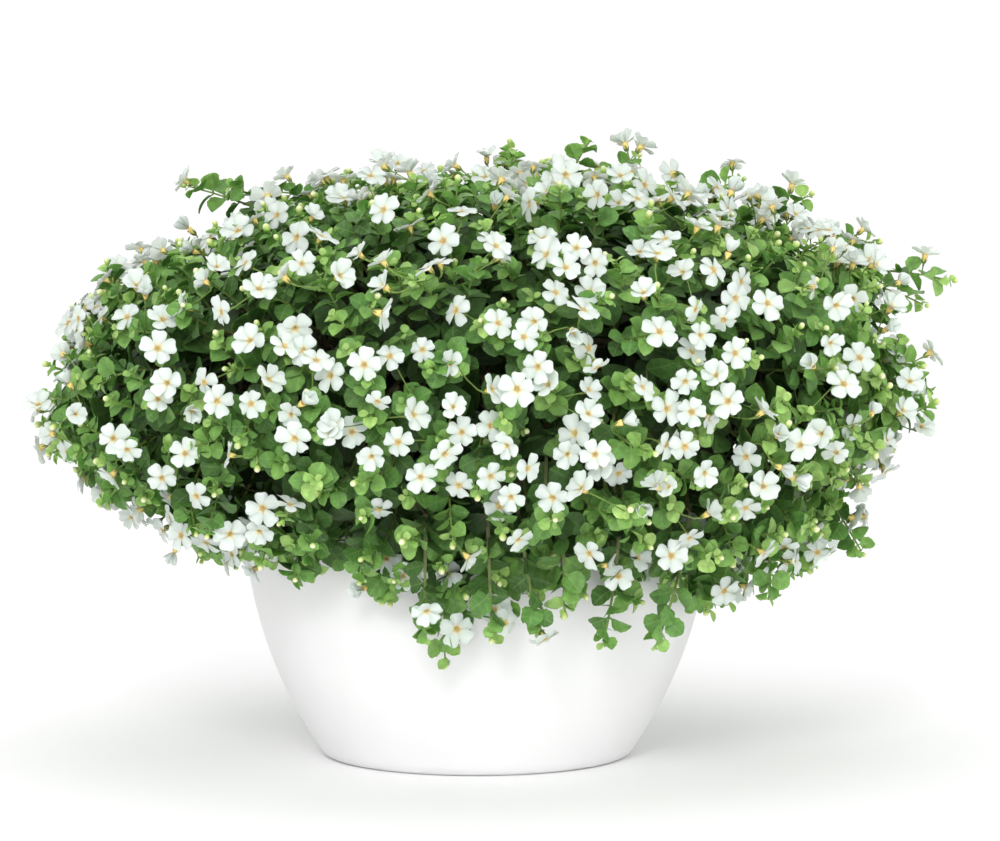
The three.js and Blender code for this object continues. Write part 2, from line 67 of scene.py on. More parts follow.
# The photograph's frame in pixels, and the camera that took it
PHOTO_WIDTH, PHOTO_HEIGHT = 1000, 841
CAMERA_PLACE = (0.012, -2.0, 0.313)
CAMERA_TILT = math.radians(3.95)  # downwards
CAMERA_LENS = 138
CAMERA_SENSOR = 36
TO_CAMERA = np.array([0.0, -1.0, 0.08])

# The mound's outline in millimetres, as (radius, height) from the crown to the hem, on its four sides
MOUND = {
    "right": [(0, 299), (66, 306), (124, 294), (174, 278), (210, 256), (220, 226), (228, 180), (214, 146),
              (190, 114), (156, 92)],
    "back": [(0, 301), (66, 308), (122, 298), (172, 279), (208, 254), (222, 218), (226, 178), (208, 146),
             (178, 116), (150, 96)],
    "left": [(0, 299), (60, 303), (112, 289), (166, 268), (201, 243), (219, 212), (227, 176), (213, 150),
             (186, 132), (156, 116)],
    "front": [(0, 301), (64, 306), (120, 297), (170, 278), (205, 253), (221, 218), (223, 178), (205, 144),
              (175, 114), (147, 92)],
}
MOUND_HEART = np.array([0, 0, 195 * MM])

# Rows of leafy stems from the crown down: how many, the share of the outline where each row ends, and in
# millimetres how far from the pot's axis they stand and the (radius, height) points they arch through
ROWS = [
    (3, 0.19, 14, [(18, 190)]),
    (5, 0.36, 40, [(52, 190)]),
    (8, 0.6, 68, [(86, 178), (128, 212)]),
    (12, 1.0, 95, [(103, 156), (126, 172), (152, 174)]),
]
ROW_TURN = 0.31  # radians by which each row is turned against the one above
ROW_WAVE = 0.02  # by which the rows' edges wander, as a share of the outline
PATCHES = sum(row[0] for row in ROWS)

# How many there are
SHOOTS = 640
HEM_SHOOTS = 54  # shoots that hang over the pot's rim
BLOOM_CLUSTERS = 560
INNER_LEAVES = 1250  # broad ones behind the shoots
CORE_LEAVES = 520  # broad ones round the main stems
HEM_LEAVES = 190  # broad ones between the pot's wall and the shoots that hang

# Shoots that reach out of the mound: azimuth in degrees, share from crown to hem, and the tip in millimetres
STRAY_SHOOTS = [
    (171, 0.27, (-152, 18, 297)), (168, 0.26, (-130, 14, 297)), (150, 0.2, (-108, 40, 294)),
    (40, 0.13, (60, 40, 321)), (52, 0.12, (34, 46, 307)), (30, 0.16, (84, 30, 312)),
    (24, 0.27, (140, 46, 300)), (12, 0.36, (174, 20, 292)), (4, 0.42, (208, 8, 268)),
    (4, 0.45, (248, 8, 248)), (0, 0.47, (232, -8, 236)), (356, 0.66, (236, -14, 192)),
    (350, 0.64, (226, -40, 206)), (348, 0.84, (198, -36, 110)), (322, 0.86, (146, -98, 92)),
    (330, 0.84, (168, -80, 107)), (204, 0.86, (-140, -70, 120)), (214, 0.86, (-120, -86, 116)),
    (262, 0.88, (-24, -160, 80)), (272, 0.88, (8, -158, 82)), (277, 0.88, (30, -156, 84)),
    (284, 0.88, (43, -152, 93)), (294, 0.88, (62, -150, 76)), (307, 0.88, (88, -140, 74)),
    (190, 0.6, (-214, -24, 168)), (110, 0.5, (-70, 210, 240)), (70, 0.62, (80, 222, 200)),
]

# What the photograph shows on the mound, as pixels (across, down): the centres of blooms that face the
# camera, of blooms that turn aside, of blooms in the shade between the leaves, and of dark hollows
OPEN_BLOOMS = [
    (122, 314), (86, 322), (66, 322), (166, 352), (177, 383), (209, 382), (223, 400), (228, 316),
    (122, 438), (136, 447), (180, 455), (60, 457), (200, 491), (132, 525), (168, 521), (227, 563),
    (205, 544), (245, 264), (305, 268), (289, 325), (285, 346), (299, 350), (316, 360), (328, 376),
    (369, 367), (390, 354), (378, 400), (254, 403), (287, 415), (299, 438), (329, 433), (370, 455),
    (398, 439), (257, 518), (258, 533), (259, 575), (440, 256), (430, 275), (497, 254), (497, 324),
    (535, 322), (525, 340), (420, 348), (547, 254), (575, 256), (565, 268), (557, 285), (586, 309),
    (597, 256), (597, 368), (590, 413), (538, 369), (516, 391), (454, 407), (445, 449), (461, 435),
    (423, 473), (460, 492), (490, 475), (510, 490), (527, 470), (552, 498), (508, 447), (592, 452),
    (700, 333), (684, 446), (517, 537), (467, 557), (588, 546), (655, 262), (710, 278), (695, 310),
    (659, 330), (727, 317), (748, 273), (740, 295), (768, 303), (732, 353), (683, 383), (640, 388),
    (686, 410), (722, 400), (716, 420), (668, 445), (700, 467), (603, 467), (764, 488), (750, 513),
    (757, 545), (783, 546), (692, 541), (668, 552), (740, 581), (725, 602), (860, 296), (828, 307),
    (812, 290), (820, 347), (863, 356), (836, 385), (857, 257), (930, 394), (815, 548), (271, 213),
    (294, 230), (322, 238), (236, 226), (222, 186), (385, 222), (444, 236), (461, 208), (489, 232),
    (530, 203), (480, 172), (556, 180), (565, 187), (638, 195), (672, 200), (730, 203), (812, 224),
    (858, 232), (74, 300),
]
SIDE_BLOOMS = [
    (62, 353), (150, 297), (157, 316), (133, 282), (190, 410), (183, 305), (203, 278), (218, 268),
    (70, 385), (46, 405), (84, 416), (110, 477), (50, 435), (230, 456), (95, 508), (232, 530),
    (285, 277), (262, 292), (340, 276), (360, 258), (383, 260), (385, 286), (383, 316), (268, 380),
    (306, 405), (333, 424), (250, 342), (412, 416), (288, 511), (573, 333), (490, 388), (550, 384),
    (685, 270), (643, 297), (716, 376), (765, 411), (725, 257), (622, 423), (657, 484), (668, 484),
    (780, 466), (792, 477), (708, 515), (642, 507), (608, 573), (888, 310), (888, 328), (830, 252),
    (905, 383), (905, 410), (905, 281), (807, 365), (848, 376), (817, 432), (895, 445), (917, 426),
    (912, 456), (795, 444), (311, 214), (338, 190), (359, 194), (262, 192), (429, 192), (383, 173),
    (410, 166), (455, 170), (508, 200), (500, 250), (548, 196), (597, 195), (620, 178), (667, 232),
    (694, 234), (718, 228), (760, 196), (795, 211), (884, 238), (160, 242), (583, 487), (104, 262),
    (843, 458), (874, 412), (780, 437),
]
SHADED_BLOOMS = [
    (403, 577), (378, 512), (450, 366), (455, 312), (415, 575), (690, 352), (618, 475), (748, 460),
    (635, 553), (853, 334), (855, 427), (410, 230), (545, 240), (640, 247), (618, 208), (592, 292),
    (590, 348), (588, 392), (492, 427), (349, 435), (567, 453), (500, 507), (575, 433),
]
HOLLOWS = [
    (410, 330), (235, 360), (395, 475), (430, 520), (525, 262), (612, 438), (640, 415), (565, 362),
    (165, 418), (145, 478), (620, 335), (538, 438), (482, 460), (740, 428), (575, 475), (530, 228),
    (635, 226), (735, 232),
]
HOLLOW_RADIUS = 13 * MM
HOLLOW_DEPTH = 26 * MM

# Where the mound's outline is drawn in, as pixels too
NOTCHES = [(225, 205), (170, 572), (800, 565), (878, 528)]
NOTCH_RADIUS = 27 * MM
NOTCH_DEPTH = 26 * MM

# The mound


def units(vectors):
    """The vectors of an array at length 1."""
    return vectors / np.maximum(np.linalg.norm(vectors, axis=-1, keepdims=True), NO_LENGTH)


def outward(azimuth):
    """The level directions at azimuths."""
    return np.stack([np.cos(azimuth), np.sin(azimuth), 0 * azimuth], -1)


def smooth_curve(points, steps):
    """A smooth curve through points, with so many steps between neighbours."""
    p = np.array(points, float)
    padded = np.vstack([2 * p[0] - p[1], p, 2 * p[-1] - p[-2]])
    pieces = []
    for a, b, c, d in zip(padded, padded[1:], padded[2:], padded[3:]):
        t = np.linspace(0, 1, steps, endpoint=False)[:, None]
        pieces.append(b + 0.5 * t * (c - a + t * (2 * a - 5 * b + 4 * c - d + t * (3 * (b - c) + d - a))))
    return np.vstack(pieces + [p[-1:]])


def smooth_outline(points):
    """A dense polyline through an outline's points, with its running share of the length."""
    line = smooth_curve(np.array(points) * MM, 20)
    length = np.concatenate([[0], np.cumsum(np.linalg.norm(np.diff(line, axis=0), axis=1))])
    return length / length[-1], line


OUTLINES = [smooth_outline(MOUND[side]) for side in ("right", "back", "left", "front")]


def whole_mound(azimuth, share):
    """Points of the mound's outline at azimuths and shares from crown to hem."""
    c, s = np.cos(azimuth), np.sin(azimuth)
    radius, height = 0, 0
    for side, (at, line) in zip((c, s, -c, -s), OUTLINES):
        weight = np.maximum(side, 0) ** 2
        radius = radius + weight * np.interp(share, at, line[:, 0])
        height = height + weight * np.interp(share, at, line[:, 1])
    return np.stack([radius * c, radius * s, height], -1)


def seen_at(points):
    """The pixels of the photograph (across, down) at which its camera sees points."""
    x, y, z = (points - CAMERA_PLACE).T
    depth = y * math.cos(CAMERA_TILT) - z * math.sin(CAMERA_TILT)
    rise = y * math.sin(CAMERA_TILT) + z * math.cos(CAMERA_TILT)
    zoom = PHOTO_WIDTH * CAMERA_LENS / CAMERA_SENSOR / depth
    return np.stack([PHOTO_WIDTH / 2 + x * zoom, PHOTO_HEIGHT / 2 - rise * zoom], -1)


def seen_nearest(pixels, points):
    """For each pixel, the number of the point that is seen nearest to it."""
    seen = seen_at(points)
    return [np.argmin(np.sum((seen - pixel) ** 2, axis=1)) for pixel in np.array(pixels)]


def nearest(points, place):
    """The one of some points that is nearest to a place."""
    return points[np.argmin(np.linalg.norm(points - place, axis=1))]


def nearness(points, spots, radius):
    """How near points are to the nearest of some spots, from 0 to 1."""
    apart = np.min(np.linalg.norm(points[:, None] - spots, axis=-1), axis=1)
    return np.exp(-((apart / radius) ** 2))


# A fine net over the mound's front half, in which what the camera sees is looked up
FRONT = np.meshgrid(np.linspace(math.pi, TAU, 361), np.linspace(0, 0.97, 200))
FRONT_AZIMUTH, FRONT_SHARE = (grid.ravel() for grid in FRONT)
FRONT_POINTS = whole_mound(FRONT_AZIMUTH, FRONT_SHARE)
NOTCH_PLACES = FRONT_POINTS[seen_nearest(NOTCHES, FRONT_POINTS)]


def on_mound(azimuth, share):
    """Points of the mound at azimuths and shares from crown to hem, drawn in at its notches."""
    whole = whole_mound(azimuth, share)
    notched = nearness(whole, NOTCH_PLACES, NOTCH_RADIUS)[:, None]
    return whole + units(MOUND_HEART - whole) * NOTCH_DEPTH * notched


def mound_axes(azimuth, share):
    """The outward, downward and sideways directions of the mound there."""
    step = 0.012
    side = on_mound(azimuth + step, share) - on_mound(azimuth - step, share)
    low = np.minimum(share + step, 1)
    high = np.maximum(share - step, 0)
    down = units(on_mound(azimuth, low) - on_mound(azimuth, high))
    out = units(np.cross(down, side))
    return out, down, np.cross(out, down)


def patch_at(azimuth, share):
    """The number of the leafy stem whose patch holds a point of the mound."""
    first = 0
    for level, (count, end, *_) in enumerate(ROWS):
        wander = ROW_WAVE * (math.sin(2 * azimuth + 20 * end) + 0.6 * math.sin(5 * azimuth))
        if level == len(ROWS) - 1 or share <= end + wander:
            turned = (azimuth - level * ROW_TURN) % TAU
            return first + int(turned * count / TAU) % count
        first += count


def patches_at(azimuth, share):
    """The numbers of the patches at azimuths and at shares, or at one share."""
    return np.array([patch_at(a, v) for a, v in zip(azimuth, np.broadcast_to(share, len(azimuth)))])


def found_on_mound(pixels, raised=0.0):
    """The azimuths and shares of the mound's points that are seen at pixels when raised by so much."""
    out, _, _ = mound_axes(FRONT_AZIMUTH, FRONT_SHARE)
    found = seen_nearest(pixels, on_mound(FRONT_AZIMUTH, FRONT_SHARE) + out * raised)
    return FRONT_AZIMUTH[found], FRONT_SHARE[found]


HOLLOW_PLACES = on_mound(*found_on_mound(HOLLOWS))


def sunk_at(surface):
    """How far points of the mound lie in one of its hollows, from 0 to 1."""
    return nearness(surface, HOLLOW_PLACES, HOLLOW_RADIUS)


def even_spots(count, turned=0.0):
    """Azimuths and shares that cover the mound evenly by area."""
    share = np.linspace(0, 1, 400)
    radius = np.mean([np.interp(share, at, line[:, 0]) for at, line in OUTLINES], 0)
    covered = np.concatenate([[0], np.cumsum((radius[1:] + radius[:-1]) / 2)])
    covered /= covered[-1]
    golden = TAU * (math.sqrt(5) - 1) / 2
    k = np.arange(count)
    return (k * golden + turned) % TAU, np.interp((k + 0.5) / count, covered, share)


def loose_spots(count, spread, ends, turned=0.0):
    """Even spots strewn by a spread of their azimuths and of their shares, which stay between two ends."""
    azimuth, share = even_spots(count, turned)
    azimuth = azimuth + rng.normal(0, spread[0], count)
    return azimuth, np.clip(share + rng.normal(0, spread[1], count), *ends)


# Meshes. A shape is its points, its triangles, their material slots and the points' UV


SHARP_ANGLE = math.radians(60)
ASLANT = np.array([0.31, 0.52, 0.8])  # a direction to turn tubes by


def add_object(name, data):
    """A new object in the scene that holds some data."""
    made = bpy.data.objects.new(name, data)
    bpy.context.scene.collection.objects.link(made)
    return made


class Batch:
    """Shapes gathered for one piece. Each point carries a tint and, as deep, its painted shade."""

    def __init__(self):
        self.parts = []
        self.count = 0

    def add(self, shape, tint, deep):
        points, triangles, slots, uv = shape
        tint, deep = (np.broadcast_to(value, len(points)) for value in (tint, deep))
        self.parts.append((points, triangles + self.count, slots, uv, tint, deep))
        self.count += len(points)

    def place(self, shape, origin, axes, scale, tint, deep):
        """Adds a copy of a shape at one origin or at each, turned to axes (x, y, z as rows)."""
        points, triangles, slots, uv = shape
        local = points * np.reshape(scale, (-1, 1, 1))
        turned = np.einsum("kni,kij->knj", local, np.reshape(axes, (-1, 3, 3)))
        placed = (turned + np.reshape(origin, (-1, 1, 3))).reshape(-1, 3)
        copies = len(turned)
        offset = (np.arange(copies) * len(points))[:, None, None]
        faces = (triangles[None] + offset).reshape(-1, 3)
        copied = placed, faces, np.tile(slots, copies), np.tile(uv, (copies, 1))
        self.add(copied, np.repeat(tint, len(points)), np.repeat(deep, len(points)))

    def build(self, name, materials):
        """The gathered shapes as one object."""
        points, triangles, slots, uv, tint, deep = (np.concatenate(kind) for kind in zip(*self.parts))
        mesh = bpy.data.meshes.new(name)
        mesh.vertices.add(len(points))
        mesh.vertices.foreach_set("co", points.astype(np.float32).ravel())
        mesh.loops.add(triangles.size)
        mesh.loops.foreach_set("vertex_index", triangles.astype(np.int32).ravel())
        mesh.polygons.add(len(triangles))
        mesh.polygons.foreach_set("loop_start", np.arange(0, triangles.size, 3, dtype=np.int32))
        mesh.polygons.foreach_set("material_index", slots.astype(np.int32))
        mesh.polygons.foreach_set("use_smooth", np.ones(len(triangles), bool))
        mesh.update(calc_edges=True)
        layer = mesh.uv_layers.new(name="Blade")
        layer.data.foreach_set("uv", uv[triangles.ravel()].astype(np.float32).ravel())
        # The deep attribute is painted shade, by which the leaf, stem and petal materials darken
        for label, values in (("tint", tint), ("deep", deep)):
            attribute = mesh.attributes.new(label, "FLOAT", "POINT")
            attribute.data.foreach_set("value", values.astype(np.float32))
        mesh.set_sharp_from_angle(angle=SHARP_ANGLE)
        for material in materials:
            mesh.materials.append(material)
        return add_object(name, mesh)


def axes_from(along, facing):
    """Rows x, y, z with y along and z near facing."""
    y = units(along)
    z = units(facing - np.sum(facing * y, -1, keepdims=True) * y)
    return np.stack([np.cross(y, z), y, z], -2)


def turn(axis, angle):
    """The matrix that turns rows of points about axis 0, 1 or 2."""
    matrix = np.eye(3)
    i, j = (axis + 1) % 3, (axis + 2) % 3
    matrix[i, i] = matrix[j, j] = math.cos(angle)
    matrix[i, j] = math.sin(angle)
    matrix[j, i] = -math.sin(angle)
    return matrix


def copy_of(shape, size=1.0, turned=np.eye(3)):
    """A shape at so many times its size, turned by a matrix."""
    points, *faces = shape
    return points * size @ turned, *faces


def joined(shapes):
    """Several shapes as one."""
    points, triangles, slots, uv = zip(*shapes)
    first = np.cumsum([0] + [len(p) for p in points[:-1]])
    shifted = [t + start for t, start in zip(triangles, first)]
    return np.vstack(points), np.vstack(shifted), np.concatenate(slots), np.vstack(uv)


def blade(stations, lift, thick, slot, dent=0.0):
    """A closed thin blade along +Y from stations of (along, half width), raised by lift(across, along).

    Its two faces share their edges and stand thick apart at the midrib, where the tip is dented. Its UV is
    (across, along), from 0 to 1.
    """
    n = len(stations)
    widest = max(w for _, w in stations)
    top = np.array([(side * w, y, lift(side * w, y)) for y, w in stations for side in (-1, 0, 1)])
    uv = np.array([(0.5 + 0.5 * side * w / widest, y) for y, w in stations for side in (-1, 0, 1)])
    top[-2, 1] -= dent
    rib = top[1::3] - [0, 0, thick]

    def under(i):
        """The point of the lower face below point i of the upper one."""
        return 3 * n + i // 3 if i % 3 == 1 else i

    triangles = []
    for a in range(0, 3 * n - 3, 3):
        upper = [(a, a + 1, a + 4), (a, a + 4, a + 3), (a + 1, a + 2, a + 4), (a + 2, a + 5, a + 4)]
        for triangle in upper:
            triangles.append(triangle)
            triangles.append(tuple(under(i) for i in reversed(triangle)))
    last = 3 * n - 3
    triangles += [(1, 0, under(1)), (2, 1, under(1))]
    triangles += [(last, last + 1, under(last + 1)), (last + 1, last + 2, under(last + 1))]
    points, uv = np.vstack([top, rib]), np.vstack([uv, uv[1::3]])
    return points, np.array(triangles), np.full(len(triangles), slot), uv


def turned_ring(profile, sides, slot):
    """A closed body turned about Z from (radius, height) points. UV v runs along the profile."""
    points, uv, triangles, rows = [], [], [], []
    for k, (r, z) in enumerate(profile):
        around = sides if r > 0 else 1
        rows.append([len(points) + i % around for i in range(sides)])
        for i in range(around):
            angle = TAU * i / sides
            points.append((r * math.cos(angle), r * math.sin(angle), z))
            uv.append((i / sides if around > 1 else 0.5, k / (len(profile) - 1)))
    for low, high in zip(rows, rows[1:]):
        for i in range(sides):
            j = (i + 1) % sides
            for triangle in ((low[i], low[j], high[j]), (low[i], high[j], high[i])):
                if len(set(triangle)) == 3:
                    triangles.append(triangle)
    return np.array(points), np.array(triangles), np.full(len(triangles), slot), np.array(uv)


def add_tube(batch, path, radii, sides, slot, tint, deep):
    """Adds a closed tube on a path, with one radius, tint and painted shade, or one for each of its points.
    """
    along = units(np.gradient(path, axis=0))
    start = units(np.cross(along[0], ASLANT))
    side = units(start - np.sum(start * along, -1, keepdims=True) * along)
    across = np.cross(along, side)
    angle = np.arange(sides) * TAU / sides
    ring = np.cos(angle)[:, None] * side[:, None] + np.sin(angle)[:, None] * across[:, None]
    points = path[:, None] + ring * np.reshape(radii, (-1, 1, 1))
    last = (len(path) - 1) * sides
    triangles = []
    for row in range(0, last, sides):
        for i in range(sides):
            a, b = row + i, row + (i + 1) % sides
            triangles += [(a, b, b + sides), (a, b + sides, a + sides)]
    for i in range(1, sides - 1):
        triangles += [(0, i + 1, i), (last, last + i, last + i + 1)]
    slots, uv = np.full(len(triangles), slot), np.full((len(path) * sides, 2), 0.5)
    spread = (np.repeat(np.broadcast_to(value, len(path)), sides) for value in (tint, deep))
    batch.add((points.reshape(-1, 3), np.array(triangles), slots, uv), *spread)


def bezier(a, b, c, t):
    """Points of quadratic curves at shares t, as (curves, shares, 3), and their directions."""
    a, b, c = (p[:, None] for p in (a, b, c))
    t = np.reshape(t, (1, -1, 1)) if np.ndim(t) == 1 else t[..., None]
    points = (1 - t) ** 2 * a + 2 * t * (1 - t) * b + t**2 * c
    along = units(2 * (1 - t) * (b - a) + 2 * t * (c - b))
    return points, along


# Leaf, bloom and bud shapes

LEAF_SLOT, STEM_SLOT = 0, 1
PETAL_SLOT, THROAT_SLOT, CALYX_SLOT, BUD_SLOT = 0, 1, 2, 3

# Outlines of leaves at length 1, as (along, half width): toothed, and plain
TOOTHED = [(0, 0.04), (0.15, 0.06), (0.27, 0.34), (0.44, 0.46), (0.55, 0.43), (0.71, 0.45), (0.88, 0.31),
           (1.0, 0.08)]
PLAIN = [(0, 0.05), (0.24, 0.29), (0.5, 0.46), (0.82, 0.37), (1.0, 0.1)]
LEAF_THICK = 0.045
DROOP_FROM = 0.2
PLAIN_THICK = 0.05

# Parts of a bloom with petals of length 1: a petal as (along, half width), the tube as (radius, height), and
# a pointed sepal
PETAL_OUTLINE = [(0.13, 0.13), (0.36, 0.29), (0.6, 0.4), (0.83, 0.42), (0.96, 0.33), (1.0, 0.2)]
PETAL_THICK = 0.05
PETAL_FOLD = 0.22
CURL_FROM = 0.3
PETAL_DENT = 0.07  # at the petal's tip
PETAL_SIZES = [1.0, 1.0, 0.94, 0.94, 1.0]
PETAL_TWIST = 0.1  # radians
TUBE_PROFILE = [(0, -0.46), (0.1, -0.46), (0.21, -0.04), (0.2, 0.03), (0.12, -0.08), (0, -0.14)]
SEPAL_POINTS = [(0.11, -0.09, -0.52), (0.11, 0.09, -0.52), (0.05, 0, -0.5), (0.25, 0, -0.16)]
SEPAL_FACES = [(0, 1, 3), (1, 2, 3), (2, 0, 3), (0, 2, 1)]
SEPAL_UV = [(0, 0), (1, 0), (0.5, 0), (0.5, 1)]
CALYX_DEPTH = 0.5 * BLOOM_RADIUS
BUD_PROFILE = [(0, -0.5), (0.55, -0.45), (0.8, 0.2), (0.95, 0.9), (0.6, 1.5), (0, 1.75)]
BUD_RADIUS = 1.8 * MM


def leaf_shape(fold, droop):
    """A toothed ovate leaf with a short stalk, LEAF_LENGTH long, folded up at its edges and drooping."""
    def lift(across, along):
        return fold * abs(across) - droop * max(along - DROOP_FROM, 0) ** 2

    return copy_of(blade(TOOTHED, lift, LEAF_THICK, LEAF_SLOT), LEAF_LENGTH)


def bloom_shape(cup, curl, uneven):
    """Five broad petals, each rising at about cup degrees and curling back by curl, round a yellow throat.

    A funnel tube and a green calyx stand behind them. The petals differ by the share uneven.
    """
    def lift(across, along):
        return PETAL_FOLD * abs(across) - curl * max(along - CURL_FROM, 0) ** 2

    petal = blade(PETAL_OUTLINE, lift, PETAL_THICK, PETAL_SLOT, PETAL_DENT)
    slots = np.full(len(SEPAL_FACES), CALYX_SLOT)
    sepal = np.array(SEPAL_POINTS), np.array(SEPAL_FACES), slots, np.array(SEPAL_UV)
    parts = []
    for k, full in enumerate(PETAL_SIZES):
        size = full * (1 + rng.uniform(-0.5, 0.5) * uneven)
        lean = turn(0, math.radians(cup) + rng.uniform(-1, 1) * uneven)
        place = turn(2, TAU * k / 5 + rng.uniform(-0.5, 0.5) * uneven)
        parts.append(copy_of(petal, size, turn(1, PETAL_TWIST) @ lean @ place))
    parts.append(turned_ring(TUBE_PROFILE, 7, THROAT_SLOT))
    parts += [copy_of(sepal, turned=turn(2, TAU * (k + 0.5) / 5)) for k in range(5)]
    return copy_of(joined(parts), BLOOM_RADIUS)


PLAIN_LEAF = blade(PLAIN, lambda across, along: 0.2 * (abs(across) - along * along), PLAIN_THICK, LEAF_SLOT)
TOOTHED_LEAVES = [leaf_shape(fold, droop) for fold, droop in ((0.35, 0.3), (0.15, 0.6), (0.55, 0.1))]
SHOOT_LEAVES = [*TOOTHED_LEAVES, copy_of(PLAIN_LEAF, LEAF_LENGTH)]
BUD = turned_ring(BUD_PROFILE, 6, BUD_SLOT)

# Blooms of different cup, curl and unevenness: open ones, cupped ones, one bent back, and half-closed ones
BLOOM_SHAPES = [bloom_shape(cup, curl, uneven) for cup, curl, uneven in (
    (10, 0.25, 0.14), (4, 0.15, 0.2), (16, 0.3, 0.26), (26, 0.12, 0.2), (-8, 0.35, 0.2), (38, 0.1, 0.24),
    (56, -0.2, 0.16),
)]
# How often each shape is seen: among blooms that face the camera, that turn aside, and of all kinds
OPEN_ODDS = [0.22, 0.22, 0.22, 0.18, 0.16, 0, 0]
SIDE_ODDS = [0, 0, 0.1, 0.3, 0, 0.35, 0.25]
MIXED_ODDS = [0.2, 0.2, 0.2, 0.15, 0.1, 0.09, 0.06]

# Materials

MIDRIB = 0.07  # half its breadth, as a share of the blade's
VEIN_CUT = 0.86  # of the wave across the blade, over which it is a side vein
VEIN_STRENGTH = 0.6  # of the side veins against the midrib


class Look:
    """The nodes of a material or a world. A node takes in numbers, colours and other nodes' outputs."""

    def __init__(self, made, shader):
        made.use_nodes = True
        self.made = made
        self.tree = made.node_tree
        self.shader = self.tree.nodes[shader]

    def feed(self, node, inputs):
        for key, value in inputs.items():
            if isinstance(value, bpy.types.NodeSocket):
                self.tree.links.new(value, node.inputs[key])
            else:
                node.inputs[key].default_value = value

    def add(self, kind, inputs, **settings):
        """A new node of a kind, with its inputs by name or number, and its settings."""
        node = self.tree.nodes.new(kind)
        for name, value in settings.items():
            setattr(node, name, value)
        self.feed(node, inputs)
        return node

    def finish(self, inputs):
        """Feeds the shader. Returns the finished material or world."""
        self.feed(self.shader, inputs)
        return self.made

    def attribute(self, name):
        return self.add("ShaderNodeAttribute", {}, attribute_name=name).outputs["Fac"]

    def ramp(self, value, *stops):
        """A colour for a value, from stops of (place, colour or grey)."""
        node = self.add("ShaderNodeValToRGB", {"Fac": value})
        elements = node.color_ramp.elements
        elements.remove(elements[1])
        elements[0].position = stops[0][0]
        for number, (place, colour) in enumerate(stops):
            stop = elements.new(place) if number else elements[0]
            stop.color = (*np.broadcast_to(colour, 3), 1)
        return node.outputs["Color"]

    def mix(self, factor, a, b, kind="MIX"):
        """A mix of two colours. The node's colours go in by 6 and 7 and come out by 2."""
        inputs = {0: factor, 6: a, 7: b}
        return self.add("ShaderNodeMix", inputs, data_type="RGBA", blend_type=kind).outputs[2]

    def compute(self, operation, a, b=None, clamp=False):
        inputs = {0: a} if b is None else {0: a, 1: b}
        return self.add("ShaderNodeMath", inputs, operation=operation, use_clamp=clamp).outputs[0]

    def noise(self, scale, detail=3):
        place = self.add("ShaderNodeTexCoord", {}).outputs["Object"]
        inputs = {"Vector": place, "Scale": scale, "Detail": detail}
        return self.add("ShaderNodeTexNoise", inputs).outputs["Fac"]

    def mottle(self, colour, scale, dark, light, light_from=0.7):
        """A colour made uneven by noise between two factors, dark and light."""
        factor = self.ramp(self.noise(scale), (0.3, dark), (light_from, light))
        return self.mix(1.0, colour, factor, "MULTIPLY")

    def roughness(self, scale, least, spread):
        """A roughness that noise raises from its least by up to its spread."""
        return self.compute("ADD", self.compute("MULTIPLY", self.noise(scale), spread), least)

    def bump(self, height, strength, distance):
        inputs = {"Height": height, "Strength": strength, "Distance": distance}
        return self.add("ShaderNodeBump", inputs).outputs["Normal"]

    def blade_uv(self):
        """How far from the midrib (0 to 1) and how far along the blade (0 to 1)."""
        uv = self.add("ShaderNodeUVMap", {}, uv_map="Blade").outputs["UV"]
        split = self.add("ShaderNodeSeparateXYZ", {0: uv})
        centred = self.compute("SUBTRACT", split.outputs["X"], 0.5)
        across = self.compute("MULTIPLY", self.compute("ABSOLUTE", centred), 2.0)
        return across, split.outputs["Y"]

    def veins(self, across, along, count, slant):
        """A mask that is 1 on the midrib and less on the side veins."""
        rib = self.compute("LESS_THAN", across, MIDRIB)
        phase = self.compute("SUBTRACT", along, self.compute("MULTIPLY", across, slant))
        wave = self.compute("SINE", self.compute("MULTIPLY", phase, count * TAU))
        side = self.compute("MULTIPLY", self.compute("GREATER_THAN", wave, VEIN_CUT), VEIN_STRENGTH)
        return self.compute("MAXIMUM", rib, side)


def surface(name):
    """The look of a new material."""
    return Look(bpy.data.materials.new(name), "Principled BSDF")


def banded_material(name, rough, mottling, *bands):
    """Colours in bands along a turned part, made uneven by noise."""
    look = surface(name)
    _, along = look.blade_uv()
    return look.finish({"Base Color": look.mottle(look.ramp(along, *bands), *mottling), "Roughness": rough})


def leaf_material():
    """Green by the leaf's age, with pale veins, painted light on the right and painted shade inside."""
    look = surface("bacopa leaf")
    green = look.ramp(look.attribute("tint"), (0.0, (0.051, 0.122, 0.028)), (0.4, (0.098, 0.238, 0.05)),
                      (0.75, (0.19, 0.37, 0.085)), (1.0, (0.355, 0.55, 0.16)))
    vein = look.veins(*look.blade_uv(), 4, 0.22)
    green = look.mix(look.compute("MULTIPLY", vein, 0.3), green, (0.28, 0.44, 0.16, 1))
    green = look.mottle(green, 260, (0.72, 0.72, 0.7), (1.15, 1.15, 1.1))
    return look.finish({
        # Painted shade: the green darkens towards near black by the deep attribute
        "Base Color": look.mix(look.attribute("deep"), green, (0.006, 0.014, 0.004, 1)),
        "Roughness": look.roughness(500, 0.36, 0.25),
        "Specular IOR Level": 0.27,
        "Subsurface Weight": 0.2,
        "Subsurface Radius": (0.5, 1.0, 0.2),
        "Subsurface Scale": 1 * MM,
        "Normal": look.bump(look.compute("SUBTRACT", 1.0, vein), 0.35, 0.4 * MM),
    })


